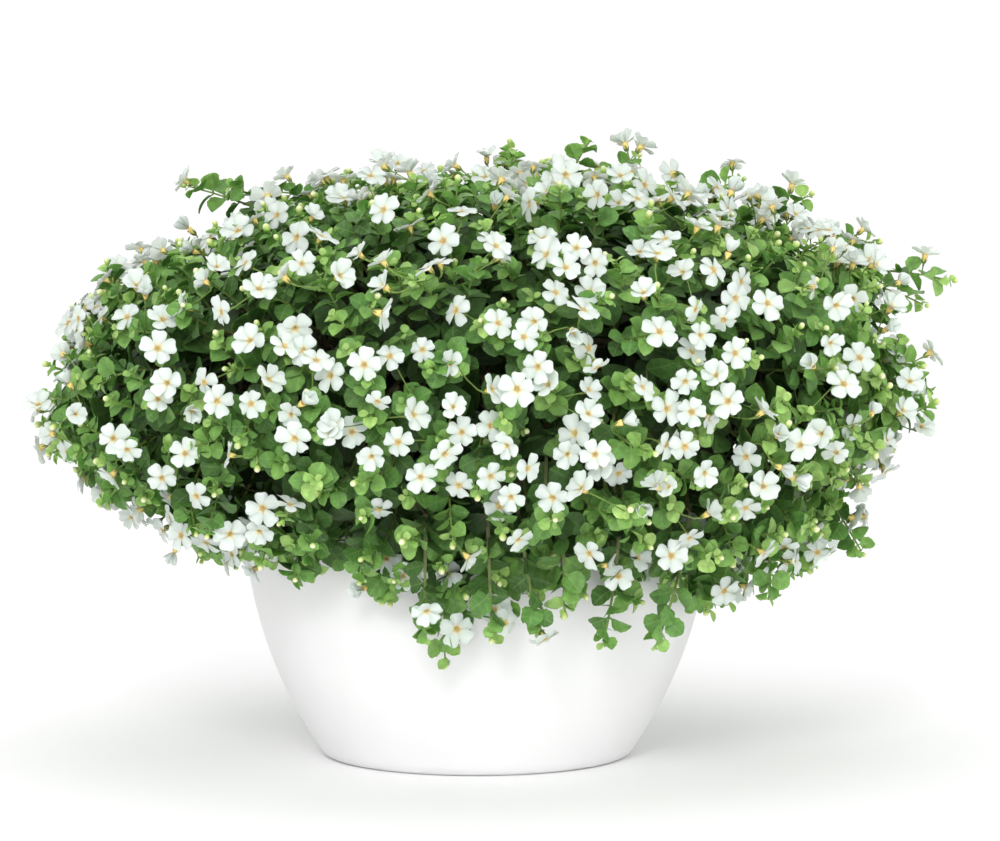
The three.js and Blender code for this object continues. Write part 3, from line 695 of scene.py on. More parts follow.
def stem_material():
    """Brown at the foot and green at the tip, with streaks, and darkened by painted shade."""
    look = surface("bacopa stem")
    colour = look.ramp(look.attribute("tint"), (0.0, (0.09, 0.07, 0.02)), (1.0, (0.17, 0.3, 0.05)))
    colour = look.mottle(colour, 400, 0.7, 1.1)
    return look.finish({
        # Painted shade: the colour darkens towards near black by the deep attribute
        "Base Color": look.mix(look.attribute("deep"), colour, (0.006, 0.012, 0.004, 1)),
        "Roughness": 0.6,
        "Normal": look.bump(look.noise(900), 0.3, 0.3 * MM),
    })


def petal_material():
    """White with faint veins, yellowish at its root, and greyed by painted shade where deep is above 0."""
    look = surface("bacopa petal")
    across, along = look.blade_uv()
    white = look.ramp(along, (0.14, (0.66, 0.54, 0.22)), (0.24, (0.73, 0.72, 0.5)),
                      (0.36, (0.66, 0.75, 0.67)), (1.0, (0.75, 0.84, 0.77)))
    vein = look.veins(across, along, 3, -0.9)
    white = look.mix(look.compute("MULTIPLY", vein, 0.1), white, (0.66, 0.7, 0.74, 1))
    white = look.mottle(white, 300, (0.93, 0.94, 0.95), 1, 0.65)
    # Painted shade: greys the petal by the deep attribute
    painted_shade = look.compute("MULTIPLY", look.attribute("deep"), 0.55)
    return look.finish({
        "Base Color": look.mix(painted_shade, white, (0.4, 0.44, 0.36, 1)),
        "Roughness": 0.5,
        "Specular IOR Level": 0.25,
        "Subsurface Weight": 0.6,
        "Subsurface Radius": (1.0, 1.0, 0.9),
        "Subsurface Scale": 2 * MM,
        "Normal": look.bump(look.compute("SUBTRACT", 1.0, vein), 0.25, 0.3 * MM),
    })


def throat_material():
    """Greenish at the tube's foot, then yellow, and brownish inside."""
    return banded_material(
        "bacopa throat", 0.55, (600, 0.8, 1.1),
        (0.0, (0.4, 0.5, 0.14)), (0.2, (0.66, 0.6, 0.16)), (0.4, (0.84, 0.62, 0.2)),
        (0.62, (0.66, 0.52, 0.2)), (0.82, (0.58, 0.42, 0.14)), (1.0, (0.42, 0.27, 0.08)))


def bud_material():
    """Green at its foot and nearly white at its tip."""
    return banded_material(
        "bacopa bud", 0.5, (500, 0.85, 1.08),
        (0.0, (0.12, 0.27, 0.04)), (0.45, (0.42, 0.58, 0.14)), (0.75, (0.7, 0.76, 0.38)),
        (1.0, (0.86, 0.88, 0.66)))


def pot_material():
    look = surface("pot gloss white")
    return look.finish({
        "Base Color": look.ramp(look.noise(14), (0.3, (0.76, 0.76, 0.765)), (0.7, 0.8)),
        "Roughness": look.roughness(220, 0.34, 0.12),
        "Specular IOR Level": 0.3,
        "Normal": look.bump(look.noise(45), 0.12, 0.6 * MM),
    })


def soil_material():
    look = surface("potting soil")
    crumbs = look.ramp(look.noise(240, 6), (0.35, (0.012, 0.008, 0.005)), (0.55, (0.05, 0.03, 0.018)),
                       (0.75, (0.12, 0.08, 0.05)))
    return look.finish({
        "Base Color": crumbs,
        "Roughness": 0.95,
        "Normal": look.bump(look.noise(320, 6), 0.8, 2 * MM),
    })


def floor_material():
    look = surface("studio floor")
    return look.finish({"Base Color": look.ramp(look.noise(3), (0.3, 0.965), (0.7, 0.98)), "Roughness": 0.9})


LEAF = leaf_material()
STEM = stem_material()
PETAL = petal_material()
THROAT = throat_material()
BUD_GREEN = bud_material()

# Stems and shoots. Radii of stems are in millimetres, at the foot and at the tip

foliage = [Batch() for _ in range(PATCHES)]
flowers = [Batch() for _ in range(PATCHES)]
carriers = [[] for _ in range(PATCHES)]  # points along each patch's stems and branches, which carry leaves

# Main stems: their ends in the soil and upright feet, and where in a patch and how deep they end
ROOT_DEPTH = 12 * MM
STEM_COLLAR = 12 * MM
PATCH_MIDDLE = 0.42
STEM_TOP_DEPTH = 44 * MM
MAIN_RADII = (2.3, 1.5)
BRANCH_RADII = (1.4, 1.1)
SHOOT_RADII = (1.1, 0.5)
# Painted shade of main stems, branches and shoots
MAIN_SHADE, BRANCH_SHADE, SHOOT_SHADE = 0.4, 0.5, 0.35
BRANCH_RISE = 4 * MM  # of a branch's middle
UPHILL_COST = 0.6  # of a branch, against its length

# Shoots of the mound: how loosely they are strewn, and in millimetres how deep their tips end in it, how
# ragged that is, and how far a share of them stands out again
SHOOT_SPREAD = (0.03, 0.012)
SHOOT_ENDS = (0.002, 0.995)
TIP_DEPTH = 6
RAGGED_WAVE = 4.5
RAGGED_SPREAD = 3
STANDING_SHARE = 0.12
STANDING_HEIGHT = (4, 9)
HEM_FROM = 0.75  # share of the outline from which shoots start higher instead of lower
HEM_RISE = 22 * MM
SHOOT_DROP = 12 * MM
SHOOT_SWERVE = 6 * MM
# Painted shade of the shoots in the mound's hollows
HOLLOW_SHADE = 0.45

# Shoots over the rim, in millimetres: where they start, where they bend, and where they end
RIM_START = (104, 158)
RIM_BEND_RADIUS, RIM_BEND_HEIGHT = (142, 160), 146
RIM_END_RADIUS, RIM_END_HEIGHT = (128, 146), 89
LEFT_RISE = 24  # by which they end higher on the left
RIM_END_SPREAD = 5
# Painted shade of the shoots over the rim
RIM_SHADE = 0.05
HEM_SHARE = 0.9  # of the outline, at which their patches are looked up

# Shoots that reach out of the mound: how deep they start, and how far they bow out
STRAY_DEPTH = 24 * MM
STRAY_BOW = 7 * MM

# Distance from a shoot's tip to each pair of leaves, and the leaves' size and tint there
LEAF_STEPS = np.array([1, 4, 8, 12.5, 18, 24, 31]) * MM
LEAF_SIZES = np.array([0.45, 0.7, 0.92, 1.06, 1.14, 1.18, 1.18])
LEAF_TINTS = np.array([0.92, 0.82, 0.66, 0.54, 0.42, 0.34, 0.26])
TOOTHED_HERE = (LEAF_STEPS > 3 * MM) & (LEAF_STEPS < 23 * MM)
LONG_STEPS = np.array([1, 5, 10, 16, 23, 31, 40, 50, 61]) * MM  # on shoots that hang or reach out
LONG_TOOTHED_HERE = (LONG_STEPS > 4 * MM) & (LONG_STEPS < 40 * MM)
TINT_SPREAD = 0.11
LEAF_SPREAD = (0.82, 1.18)  # of the leaves' sizes
LEAF_FORWARD = (0.35, 0.75)  # how far they lean along the shoot, against 1 away from it
# Painted shade of the leaves, growing from each shoot's tip inwards
SHADE_REACH = 60 * MM  # from a shoot's tip to where the shade has grown by 1
TIP_SHADE = -0.25  # less than 0 counts as 0
MOST_SHADE = 0.7
LEAF_OUT, LEAF_UP, LEAF_ALONG, LEAF_WANDER = 0.9, 0.5, 0.25, 0.5  # how far they face these ways
HEM_BREADTH = 1.35  # of the leaves that hang over the rim

# Painted light on the right: a lighter tint, less painted shade, and how far out that is full
RIGHT_PAINTED_LIGHT = 0.1
RIGHT_SHADE_CUT = 0.12
RIGHT_REACH = 160 * MM


def main_stems():
    """The curve of each leafy stem's main stem, from inside the soil to behind the middle of its patch."""
    stems, last = [], 0
    for level, (count, end, foot, arch) in enumerate(ROWS):
        middle = np.array([last + (end - last) * PATCH_MIDDLE])
        upright = [(foot * MM, SOIL_HEIGHT - ROOT_DEPTH), (foot * MM, SOIL_HEIGHT + STEM_COLLAR)]
        profile = upright + [(r * MM, z * MM) for r, z in arch]
        for k in range(count):
            azimuth = np.array([TAU * (k + 0.5) / count + level * ROW_TURN])
            points = [outward(azimuth)[0] * r + UP * z for r, z in profile]
            out, _, _ = mound_axes(azimuth, middle)
            top = on_mound(azimuth, middle) - out * STEM_TOP_DEPTH
            stems.append(smooth_curve(np.vstack([points, top]), 5))
        last = end
    return stems


STEMS = main_stems()


def add_stem(number, path, radii, sides, tint, deep):
    """Adds a stem that may carry leaves to a patch. Its radii at its foot and tip are in millimetres."""
    add_tube(foliage[number], path, np.linspace(*radii, len(path)) * MM, sides, STEM_SLOT, tint, deep)
    carriers[number].append(path)


def branch_out(owner, start):
    """Adds a branch from its patch's main stem to the start of each shoot."""
    for number, place in zip(owner, start):
        stem = STEMS[number]
        upper = stem[len(stem) // 2:]
        uphill = np.maximum(upper[:, 2] - place[2], 0)
        joint = upper[np.argmin(np.linalg.norm(upper - place, axis=1) + UPHILL_COST * uphill)]
        bend = (joint + place) / 2 + UP * BRANCH_RISE
        path, _ = bezier(joint[None], bend[None], place[None], np.linspace(0, 1, 4))
        add_stem(number, path[0], BRANCH_RADII, sides=3, tint=0.0, deep=BRANCH_SHADE)


def add_leaves(owner, place, lean, facing, size, tint, deep, toothed):
    """Adds leaves at places for one patch: toothed ones where toothed, else plain ones."""
    shape = np.where(toothed, rng.integers(0, len(TOOTHED_LEAVES), len(place)), len(TOOTHED_LEAVES))
    for kind, leaf in enumerate(SHOOT_LEAVES):
        pick = shape == kind
        if pick.any():
            axes = axes_from(lean[pick], facing[pick])
            foliage[owner].place(leaf, place[pick], axes, size[pick], tint[pick], deep[pick])


def grow_shoots(shoots, steps, toothed, broad=1.0):
    """Adds shoots with opposite pairs of leaves at steps from their tips. Returns the pairs' places.

    Shoots are given by their owners, starts, middles, tips, outward directions and shades. A shade is painted
    shade from 0 to 1 that darkens a whole shoot, and broad enlarges its leaves.
    """
    owner, start, middle, tip, out, shade = shoots
    branch_out(owner, start)
    length = np.linalg.norm(tip - start, axis=1)
    stem_at = np.linspace(0, 1, 6)
    paths, _ = bezier(start, middle, tip, stem_at)
    nodes, along = bezier(start, middle, tip, np.clip(1 - steps[None] / length[:, None], 0, 1))
    pairs = len(steps)
    first_turn = rng.uniform(0, TAU, len(tip))
    sizes = np.interp(steps, LEAF_STEPS, LEAF_SIZES)
    tints = np.interp(steps, LEAF_STEPS, LEAF_TINTS)
    # Painted light: shoots on the right get a lighter tint and less painted shade
    to_right = np.clip(tip[:, 0] / RIGHT_REACH, -0.5, 1)
    shoot_tint_and_light = rng.normal(0, TINT_SPREAD, len(tip)) + RIGHT_PAINTED_LIGHT * to_right
    shade = shade - RIGHT_SHADE_CUT * to_right
    for k, number in enumerate(owner):
        # Painted shade on the shoot's stem, darkest at its foot
        add_stem(number, paths[k], SHOOT_RADII, sides=3, tint=stem_at, deep=SHOOT_SHADE * (1 - stem_at))
        right = units(np.cross(along[k], UP + 0.3 * out[k]))
        up = np.cross(right, along[k])
        turned = first_turn[k] + np.arange(pairs) * TAU / 4 + rng.normal(0, 0.25, pairs)
        pair = np.cos(turned)[:, None] * right + np.sin(turned)[:, None] * up
        for sign in (1, -1):
            forward = along[k] * rng.uniform(*LEAF_FORWARD, (pairs, 1))
            lean = forward + pair * sign + rng.normal(0, 0.15, (pairs, 3))
            wander = rng.normal(0, LEAF_WANDER, (pairs, 3))
            facing = out[k] * LEAF_OUT + UP * LEAF_UP + along[k] * LEAF_ALONG + wander
            size = sizes * broad * rng.uniform(*LEAF_SPREAD, pairs)
            # Painted shade that grows from the shoot's tip inwards
            deep = np.clip(steps / SHADE_REACH + TIP_SHADE + shade[k], 0, MOST_SHADE)
            tint = np.clip(tints + shoot_tint_and_light[k] + rng.normal(0, TINT_SPREAD, pairs), 0, 1)
            add_leaves(number, nodes[k], lean, facing, size, tint, deep, toothed)
    bud_up(owner, tip, along[:, 0], out)
    return nodes


def mound_shoots():
    """Shoots whose tips cover the mound."""
    azimuth, share = loose_spots(SHOOTS, SHOOT_SPREAD, SHOOT_ENDS)
    out, down, side = mound_axes(azimuth, share)
    waves = RAGGED_WAVE * np.sin(azimuth * 7 + share * 9) * np.sin(share * 23 + azimuth * 3)
    ragged = waves + rng.normal(0, RAGGED_SPREAD, SHOOTS)
    standing = (rng.random(SHOOTS) < STANDING_SHARE) * rng.uniform(*STANDING_HEIGHT, SHOOTS)
    place = on_mound(azimuth, share)
    sunk = sunk_at(place)
    tip = place - out * ((TIP_DEPTH + ragged - standing) * MM + sunk * HOLLOW_DEPTH)[:, None]
    hem = np.clip((share - HEM_FROM) / (1 - HEM_FROM), 0, 1)[:, None]
    start = tip - out * SHOOT_REACH - down * SHOOT_DROP * (1 - hem) + UP * HEM_RISE * hem
    start = start + side * rng.normal(0, SHOOT_SWERVE, (SHOOTS, 1))
    sway = side * rng.normal(0, 0.55, (SHOOTS, 1)) + down * rng.normal(0, 0.5, (SHOOTS, 1))
    middle = tip - units(out * 0.75 + UP * 0.2 + sway) * (0.5 * SHOOT_REACH)
    # The last value is painted shade, darkest in the hollows
    return patches_at(azimuth, share), start, middle, tip, out, HOLLOW_SHADE * sunk


def hem_shoots():
    """Shoots that come out under the mound and hang over the pot's rim."""
    azimuth = np.arange(HEM_SHOOTS) * TAU / HEM_SHOOTS + rng.normal(0, 0.05, HEM_SHOOTS)
    level = outward(azimuth)
    waves = 7 * np.sin(azimuth * 5 + 1) + 6 * np.sin(azimuth * 9)
    low = RIM_END_HEIGHT + waves + rng.normal(0, RIM_END_SPREAD, HEM_SHOOTS)
    low = low + LEFT_RISE * np.maximum(-np.cos(azimuth), 0)
    tip = level * (rng.uniform(*RIM_END_RADIUS, HEM_SHOOTS) * MM)[:, None] + UP * (low * MM)[:, None]
    start = level * (RIM_START[0] * MM) + UP * (RIM_START[1] * MM)
    bend = (rng.uniform(*RIM_BEND_RADIUS, HEM_SHOOTS) * MM)[:, None]
    middle = level * bend + UP * (RIM_BEND_HEIGHT * MM)
    out = units(level - UP * 0.15)
    return patches_at(azimuth, HEM_SHARE), start, middle, tip, out, np.full(HEM_SHOOTS, RIM_SHADE)


def stray_shoots():
    """The named shoots that reach out of the mound."""
    angles, shares, places = zip(*STRAY_SHOOTS)
    azimuth, share, tip = np.radians(angles), np.array(shares), np.array(places) * MM
    out, _, _ = mound_axes(azimuth, share)
    start = on_mound(azimuth, share) - out * STRAY_DEPTH
    middle = (start + tip) / 2 + out * STRAY_BOW
    return patches_at(azimuth, share), start, middle, tip, units(out + UP * 0.3), np.zeros(len(tip))


def add_main_stems():
    """The main stem of each patch."""
    for number, stem in enumerate(STEMS):
        add_stem(number, stem, MAIN_RADII, sides=6, tint=0.0, deep=MAIN_SHADE)


# Blooms and buds

STALK_RADII = np.array([0.45, 0.38, 0.38, 0.8]) * MM
STALK_REACH = 14 * MM  # from a bloom back to where its stalk looks for a shoot
STALK_BEND, STALK_RISE = 5 * MM, 1 * MM  # of the stalk's middle, back from the bloom and up
BLOOM_SPREAD = (0.75, 1.0)  # of the blooms' sizes
BLOOM_PAIRS = (1, 6)  # the pairs of leaves, from 0 at the tip, that bear blooms, without the last
BLOOM_SPACING = 11 * MM  # least distance between two blooms' centres
BUD_SHARE = 0.6  # of the shoot tips
BUD_ASLANT = np.array([0.3, 0.8, 0.5])  # a direction to turn buds by
BUD_CLEAR = 1.5  # millimetres from the shoot's tip to the bud
BUD_SPREAD = (0.7, 1.15)  # of the buds' sizes
LONG_BLOOM_SHARE = 0.55  # of the two blooms that each long shoot may bear
LONG_BLOOM_REACH = (9, 14)  # millimetres from such a bloom to its shoot

# Blooms that are placed by pixel: where, the share by which they turn aside, their range of heights over the
# mound and how often each shape is seen; and how far they face out of the mound, to the camera and anywhere
PLACED_BLOOMS = [
    (OPEN_BLOOMS, 0.0, (-7 * MM, 6 * MM), OPEN_ODDS),
    (SIDE_BLOOMS, 0.8, (-5 * MM, 5 * MM), SIDE_ODDS),
    (SHADED_BLOOMS, 0.2, (-15 * MM, -9 * MM), OPEN_ODDS),
]
BLOOM_OUT, BLOOM_TO_CAMERA, BLOOM_WANDER = 0.6, 0.4, 0.34

# How likely a scattered bloom is at shares of the outline, what part of that is left in the camera's view,
# how far the mound has to face the camera to be in view, and how much further to be fully in view
DENSITY = [(0, 0.55), (0.3, 0.95), (0.75, 0.95), (0.9, 0.75), (1, 0.6)]
SCATTERED_IN_VIEW = 0.03
VIEW_FROM = 0.05
VIEW_FADE = 0.25

# Clusters of scattered blooms: how loosely they are strewn, how many blooms they have and how often, and how
# far from the middle these stand, in millimetres
CLUSTER_SPREAD = (0.04, 0.016)
CLUSTER_ENDS = (0.004, 0.985)
CLUSTER_SIZES = [1, 2, 3, 4, 5]
CLUSTER_ODDS = [0.16, 0.26, 0.28, 0.2, 0.1]
CLUSTER_REACH = (6, 15)
CLUSTER_HEIGHT = (-12, 4)


def add_blooms(owner, centre, facing, joint, odds):
    """Adds blooms with their stalks: each stands at centre, faces facing and hangs on a node at joint."""
    count = len(centre)
    facing = units(facing)
    across = np.cross(facing, units(rng.normal(0, 1, (count, 3))))
    axes = axes_from(across, facing)
    size = rng.uniform(*BLOOM_SPREAD, count)
    shape = rng.choice(len(BLOOM_SHAPES), count, p=odds)
    back = centre - facing * (CALYX_DEPTH * size)[:, None]
    bend = back - facing * STALK_BEND + UP * STALK_RISE
    paths, _ = bezier(joint, bend, back, np.linspace(0, 1, len(STALK_RADII)))
    for k in range(count):
        batch = flowers[owner[k]]
        batch.place(BLOOM_SHAPES[shape[k]], centre[k], axes[k], size[k], tint=0.5, deep=0.0)
        add_tube(batch, paths[k], STALK_RADII, 3, CALYX_SLOT, tint=0.8, deep=0.0)


def bud_up(owner, tip, along, out):
    """Adds a bud at most of the shoot tips, pointing on and a little outwards."""
    budding = rng.random(len(tip)) < BUD_SHARE
    owner, along = owner[budding], along[budding]
    place = tip[budding] + along * BUD_CLEAR * MM
    pointing = units(along + out[budding] * 0.4)
    axes = axes_from(np.cross(pointing, BUD_ASLANT), pointing)
    for k, number in enumerate(owner):
        size = BUD_RADIUS * rng.uniform(*BUD_SPREAD)
        flowers[number].place(BUD, place[k], axes[k], size, tint=0.7, deep=0.0)


def blooms_at(pixels, aside, height):
    """Blooms where the camera sees pixels, in a range of heights: their owners, centres and facings.

    They face out of the mound and to the camera, or turn from both by the share aside.
    """
    azimuth, share = found_on_mound(pixels, np.mean(height))
    out, _, side = mound_axes(azimuth, share)
    count = len(azimuth)
    centre = on_mound(azimuth, share) + out * rng.uniform(*height, (count, 1))
    turned = (side * rng.choice([-1, 1], (count, 1)) + UP * 0.5) * aside
    ahead = out * BLOOM_OUT + TO_CAMERA * BLOOM_TO_CAMERA * (1 - aside)
    facing = ahead + turned + rng.normal(0, BLOOM_WANDER, (count, 3))
    return patches_at(azimuth, share), centre, units(facing)


def bloom_density(surface, share, out):
    """How likely a scattered bloom is: less at the crown and the hem, and least where the camera looks."""
    value = np.interp(share, *zip(*DENSITY))
    x, y, z = (surface / MM).T
    value = value * (0.85 + 0.3 * np.sin(x / 41 + 1) * np.sin(z / 33 + y / 57))
    in_view = np.clip((-out[:, 1] - VIEW_FROM) / VIEW_FADE, 0, 1)
    return value * (1 - (1 - SCATTERED_IN_VIEW) * in_view)


def scattered_blooms(taken):
    """Blooms in small clusters on an even net over the mound, clear of the places already taken."""
    azimuth, share = loose_spots(BLOOM_CLUSTERS, CLUSTER_SPREAD, CLUSTER_ENDS, turned=1.3)
    spots = on_mound(azimuth, share)
    outs, downs, sides = mound_axes(azimuth, share)
    density = bloom_density(spots, share, outs)
    patches = patches_at(azimuth, share)
    centres, facings, owners = list(taken), [], []
    for spot, out, down, side, likely, patch in zip(spots, outs, downs, sides, density, patches):
        members = rng.choice(CLUSTER_SIZES, p=CLUSTER_ODDS)
        first = rng.uniform(0, TAU)
        for k in range(members):
            if rng.random() > likely:
                continue
            angle = first + TAU * k / members + rng.normal(0, 0.4)
            apart = rng.uniform(*CLUSTER_REACH) * MM * (members > 1)
            away = math.cos(angle) * side + math.sin(angle) * down
            centre = spot + away * apart + out * rng.uniform(*CLUSTER_HEIGHT) * MM
            if np.min(np.linalg.norm(np.array(centres) - centre, axis=1)) < BLOOM_SPACING:
                continue
            centres.append(centre)
            facings.append(out + UP * 0.12 + away * 0.4 * (members > 1) + rng.normal(0, 0.42, 3))
            owners.append(patch)
    return owners, np.array(centres[len(taken):]), units(np.array(facings))


def grow_mound():
    """All the mound's shoots, with their blooms and buds."""
    nodes = grow_shoots(mound_shoots(), LEAF_STEPS, TOOTHED_HERE)
    axils = nodes[:, slice(*BLOOM_PAIRS)].reshape(-1, 3)
    groups = [(blooms_at(pixels, aside, height), odds) for pixels, aside, height, odds in PLACED_BLOOMS]
    taken = np.vstack([centres for (_, centres, _), _ in groups])
    groups.append((scattered_blooms(taken), MIXED_ODDS))
    for (owners, centres, facings), odds in groups:
        joints = [nearest(axils, root) for root in centres - facings * STALK_REACH]
        add_blooms(owners, centres, facings, np.array(joints), odds)


def grow_long_shoots():
    """The shoots that hang over the rim or reach out of the mound, with blooms beside their tips."""
    for shoots, broad in ((hem_shoots(), HEM_BREADTH), (stray_shoots(), 1.0)):
        owner, _, _, tip, out, _ = shoots
        nodes = grow_shoots(shoots, LONG_STEPS, LONG_TOOTHED_HERE, broad)
        own = np.repeat(np.arange(len(tip)), 2)
        own = own[rng.random(len(own)) < LONG_BLOOM_SHARE]
        joint = nodes[own, rng.integers(*BLOOM_PAIRS, len(own))]
        facing = units(out[own] + UP * 0.25 + rng.normal(0, 0.5, (len(own), 3)))
        centre = joint + facing * rng.uniform(*LONG_BLOOM_REACH, (len(own), 1)) * MM
        add_blooms(owner[own], centre, facing, joint, MIXED_ODDS)


# Broad leaves with painted shade. Their depths, places and lengths are in millimetres

BROAD_STALK_RADIUS = 0.45 * MM
INNER_DEPTH = (26, 56)
INNER_SIZE = (15, 22)
INNER_SHADE, INNER_SHADE_REACH = 0.75, 70 * MM
CORE_FROM, CORE_SPAN = 0.1, 0.8  # the part of the outline they lie behind
CORE_REACH = (0.25, 0.72)  # share of the way from the mound's heart to its surface
CORE_SIZE = (24, 34)
CORE_SHADE = 0.8
HEM_RADIUS = (128, 142)
HEM_HEIGHT = (122, 164)
HEM_SIZE = (13, 19)
HEM_SHADE = (0.35, 0.6)


def add_broad_leaves(owner, place, axes, size, tint, deep):
    """Adds plain broad leaves, each on a stalk from the nearest stem or branch of its patch."""
    for k, number in enumerate(owner):
        foliage[number].place(PLAIN_LEAF, place[k], axes[k], size[k], tint, deep[k])
        joint = nearest(np.vstack(carriers[number]), place[k])
        stalk = np.array([joint, place[k]])
        add_tube(foliage[number], stalk, BROAD_STALK_RADIUS, 3, STEM_SLOT, tint, deep[k])


def fill_inside():
    """Broad leaves behind the shoots, darkened by painted shade the deeper they lie."""
    azimuth, share = even_spots(INNER_LEAVES, turned=0.7)
    place = on_mound(azimuth, share)
    out, _, _ = mound_axes(azimuth, share)
    sunk = sunk_at(place)[:, None] * HOLLOW_DEPTH
    depth = rng.uniform(*INNER_DEPTH, (INNER_LEAVES, 1)) * MM + sunk
    lean = rng.normal(0, 1, (INNER_LEAVES, 3)) + out * 0.2
    facing = out + rng.normal(0, 0.3, (INNER_LEAVES, 3))
    axes = axes_from(lean, facing)
    size = rng.uniform(*INNER_SIZE, INNER_LEAVES) * MM
    deep = np.clip(depth[:, 0] / INNER_SHADE_REACH, 0, INNER_SHADE)
    add_broad_leaves(patches_at(azimuth, share), place - out * depth, axes, size, tint=0.3, deep=deep)


def fill_core():
    """Broad leaves round the main stems in the middle of the mound, darkened by painted shade."""
    azimuth, share = even_spots(CORE_LEAVES, turned=0.2)
    share = CORE_FROM + CORE_SPAN * share
    reach = rng.uniform(*CORE_REACH, (CORE_LEAVES, 1))
    place = MOUND_HEART + (on_mound(azimuth, share) - MOUND_HEART) * reach
    facing = units(place - MOUND_HEART) + rng.normal(0, 0.35, (CORE_LEAVES, 3))
    axes = axes_from(rng.normal(0, 1, (CORE_LEAVES, 3)), facing)
    size = rng.uniform(*CORE_SIZE, CORE_LEAVES) * MM
    deep = np.full(CORE_LEAVES, CORE_SHADE)
    add_broad_leaves(patches_at(azimuth, share), place, axes, size, tint=0.2, deep=deep)


def fill_hem():
    """Broad leaves with painted shade between the pot's wall and the shoots that hang over its rim."""
    azimuth = rng.uniform(0, TAU, HEM_LEAVES)
    out = outward(azimuth)
    place = out * (rng.uniform(*HEM_RADIUS, (HEM_LEAVES, 1)) * MM)
    place = place + UP * (rng.uniform(*HEM_HEIGHT, (HEM_LEAVES, 1)) * MM)
    facing = out + rng.normal(0, 0.25, (HEM_LEAVES, 3))
    axes = axes_from(rng.normal(0, 0.5, (HEM_LEAVES, 3)) - UP, facing)
    size = rng.uniform(*HEM_SIZE, HEM_LEAVES) * MM
    deep = rng.uniform(*HEM_SHADE, HEM_LEAVES)
    add_broad_leaves(patches_at(azimuth, HEM_SHARE), place, axes, size, tint=0.3, deep=deep)


# Camera, lights and floor

HORIZON_LIGHT = 1.02
HORIZON_TOP = (0.1, 0.28)  # the sines of the heights between which its white fades
SIDE_LIGHT = 0.25
TOP_LIGHT = 1.25
FLOOR_REACH = 40

# Lamps: name, place, what they point at, breadth, watts and the angle that their light spreads over
LAMPS = [
    ("key", (-0.3, -2.2, 1.2), (0, 0, 0.14), 0.6, 21, math.pi),
    ("front", (0.9, -2.2, 0.6), (0, 0, 0.14), 0.9, 9, math.pi),
    ("low", (-0.1, -2.3, 0.2), (0, -0.1, 0.015), 0.5, 0.07, math.radians(14)),
]


def add_camera():
    camera = bpy.data.cameras.new("camera")
    camera.lens = CAMERA_LENS
    camera.sensor_width = CAMERA_SENSOR
    seat = add_object("camera", camera)
    seat.location = CAMERA_PLACE
    seat.rotation_euler = (math.pi / 2 - CAMERA_TILT, 0, 0)
    bpy.context.scene.camera = seat


def add_lamp(name, place, target, breadth, power, spread):
    lamp = bpy.data.lights.new(name, "AREA")
    lamp.shape = "DISK"
    lamp.spread = spread
    lamp.size = breadth
    lamp.energy = power
    holder = add_object(name, lamp)
    holder.location = place
    holder.rotation_euler = (Vector(target) - Vector(place)).to_track_quat("-Z", "Y").to_euler()


def studio_world():
    """Light from a white horizon all round, from dimmer sides, and most of all from overhead."""
    look = Look(bpy.data.worlds.new("studio"), "Background")
    place = look.add("ShaderNodeTexCoord", {}).outputs["Generated"]
    height = look.add("ShaderNodeSeparateXYZ", {0: place}).outputs["Z"]
    horizon = look.add("ShaderNodeMapRange", {
        "Value": look.compute("ABSOLUTE", height),
        "From Min": HORIZON_TOP[0],
        "From Max": HORIZON_TOP[1],
        "To Min": HORIZON_LIGHT,
        "To Max": SIDE_LIGHT,
    }, interpolation_type="SMOOTHSTEP")
    overhead = look.compute("MULTIPLY", height, TOP_LIGHT, clamp=True)
    return look.finish({
        "Strength": look.compute("ADD", horizon.outputs["Result"], overhead),
        "Color": (1, 1, 1, 1),
    })


def add_studio():
    """The world, the lamps and a wide pale floor."""
    scene = bpy.context.scene
    scene.world = studio_world()
    scene.view_settings.view_transform = "Standard"
    for lamp in LAMPS:
        add_lamp(*lamp)

    mesh = bpy.data.meshes.new("floor")
    corners = [(x * FLOOR_REACH, y * FLOOR_REACH, 0) for x, y in ((-1, -1), (1, -1), (1, 1), (-1, 1))]
    mesh.from_pydata(corners, [], [(0, 1, 2, 3)])
    mesh.materials.append(floor_material())
    floor = add_object("floor", mesh)


# Pot and soil

TURNED_SIDES = 96
FOOT_ROUND = [(3 * MM, 0), (1 * MM, 0.6 * MM)]  # how far inside the foot's radius, and how high
LIP = POT_WALL / 2
OUTSIDE_HEIGHTS = [2 * MM, *np.linspace(6 * MM, POT_HEIGHT - 4 * MM, 26)]
INSIDE_HEIGHTS = np.linspace(POT_HEIGHT - 5 * MM, 8 * MM, 14)
FLOOR_INSET = 8 * MM  # from the pot's outside to its floor's edge
SOIL_CLEAR = 1.2 * MM  # between the soil and the pot's wall
SOIL_BOTTOM = POT_FLOOR + 0.6 * MM
SOIL_SIDE = np.linspace(12 * MM, SOIL_HEIGHT, 8)  # heights, above a bevel at the bottom
SOIL_BEVEL = 4 * MM
CRUMB_HEIGHT, CRUMB_SPREAD = 1.1, 0.4  # in millimetres


def pot_radius(height):
    """The radius of the pot's outside at a height."""
    return POT_FOOT_RADIUS + (POT_RIM_RADIUS - POT_FOOT_RADIUS) * (1 - (1 - height / POT_HEIGHT) ** POT_BELLY)


def add_turned(name, shape, made):
    """Adds a turned body as a piece of one material."""
    batch = Batch()
    batch.add(shape, tint=0.5, deep=0.0)
    return batch.build(name, [made])


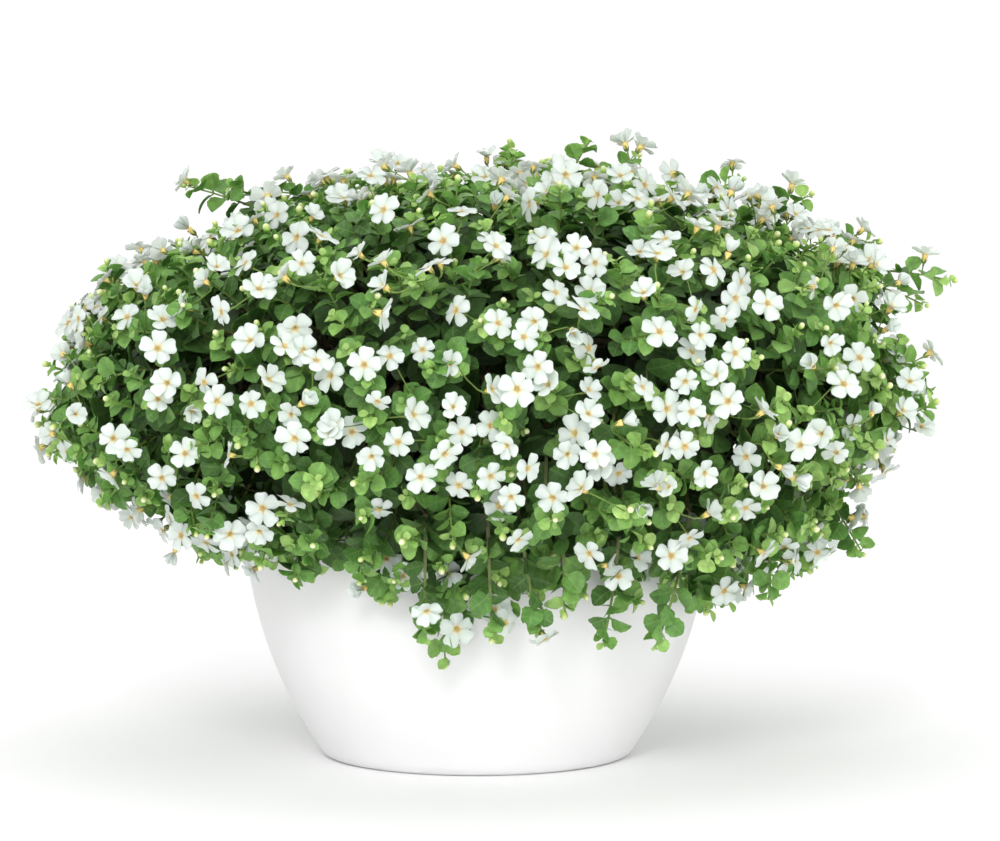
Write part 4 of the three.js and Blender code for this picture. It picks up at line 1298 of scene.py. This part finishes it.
def add_pot():
    """A thin bowl from the middle of its foot up the outside, over its rounded rim, and down to its floor."""
    profile = [(0, 0)] + [(POT_FOOT_RADIUS - inside, height) for inside, height in FOOT_ROUND]
    profile += [(pot_radius(h), h) for h in OUTSIDE_HEIGHTS]
    lip_radius, lip_height = POT_RIM_RADIUS - LIP, POT_HEIGHT - LIP
    for angle in np.linspace(0, math.pi, 7):
        profile.append((lip_radius + LIP * math.cos(angle), lip_height + LIP * math.sin(angle)))
    profile += [(pot_radius(h) - POT_WALL, h) for h in INSIDE_HEIGHTS]
    profile += [(pot_radius(POT_FLOOR) - FLOOR_INSET, POT_FLOOR), (0, POT_FLOOR)]
    pot = add_turned("pot_body", turned_ring(profile, TURNED_SIDES, 0), pot_material())
    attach(pot, "root")
    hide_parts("pot")


def add_soil():
    """Crumbly soil whose top is raised and rough, as a closed body inside the pot."""
    inset = POT_WALL + SOIL_CLEAR
    profile = [(0, SOIL_BOTTOM), (pot_radius(POT_FLOOR) - inset - SOIL_BEVEL, SOIL_BOTTOM)]
    profile += [(pot_radius(h) - inset, h) for h in SOIL_SIDE]
    top = np.linspace(pot_radius(SOIL_HEIGHT) - inset, 0, 30)[1:]
    profile += [(r, SOIL_HEIGHT + SOIL_CROWN * (1 - r / POT_RIM_RADIUS)) for r in top]
    points, *faces = turned_ring(profile, TURNED_SIDES, 0)
    on_top = points[:, 2] > SOIL_HEIGHT + 0.2 * MM
    x, y = points[:, 0] / MM, points[:, 1] / MM
    crumbs = np.sin(x * 0.9 + np.sin(y * 0.7) * 2) * np.sin(y * 1.1 + np.sin(x * 0.5) * 2)
    rough = crumbs * CRUMB_HEIGHT * MM + rng.normal(0, CRUMB_SPREAD * MM, len(points))
    points[:, 2] += np.where(on_top, rough, 0)
    soil = add_turned("soil_fill", (points, *faces), soil_material())
    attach(soil, "root")
    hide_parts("soil")


# Assembly

add_camera()
add_studio()
add_pot()
add_soil()
grow_mound()
grow_long_shoots()
add_main_stems()
fill_inside()
fill_core()
fill_hem()
for number in range(PATCHES):
    label = f"{number + 1:02d}"
    leaves = foliage[number].build(f"foliage_{label}", [LEAF, STEM])
    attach(leaves, "root")
    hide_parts(f"leafy_stem_{label}")
    blooms = flowers[number].build(f"blooms_{label}", [PETAL, THROAT, STEM, BUD_GREEN])
    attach(blooms, "root")
    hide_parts(f"flower_spray_{label}")
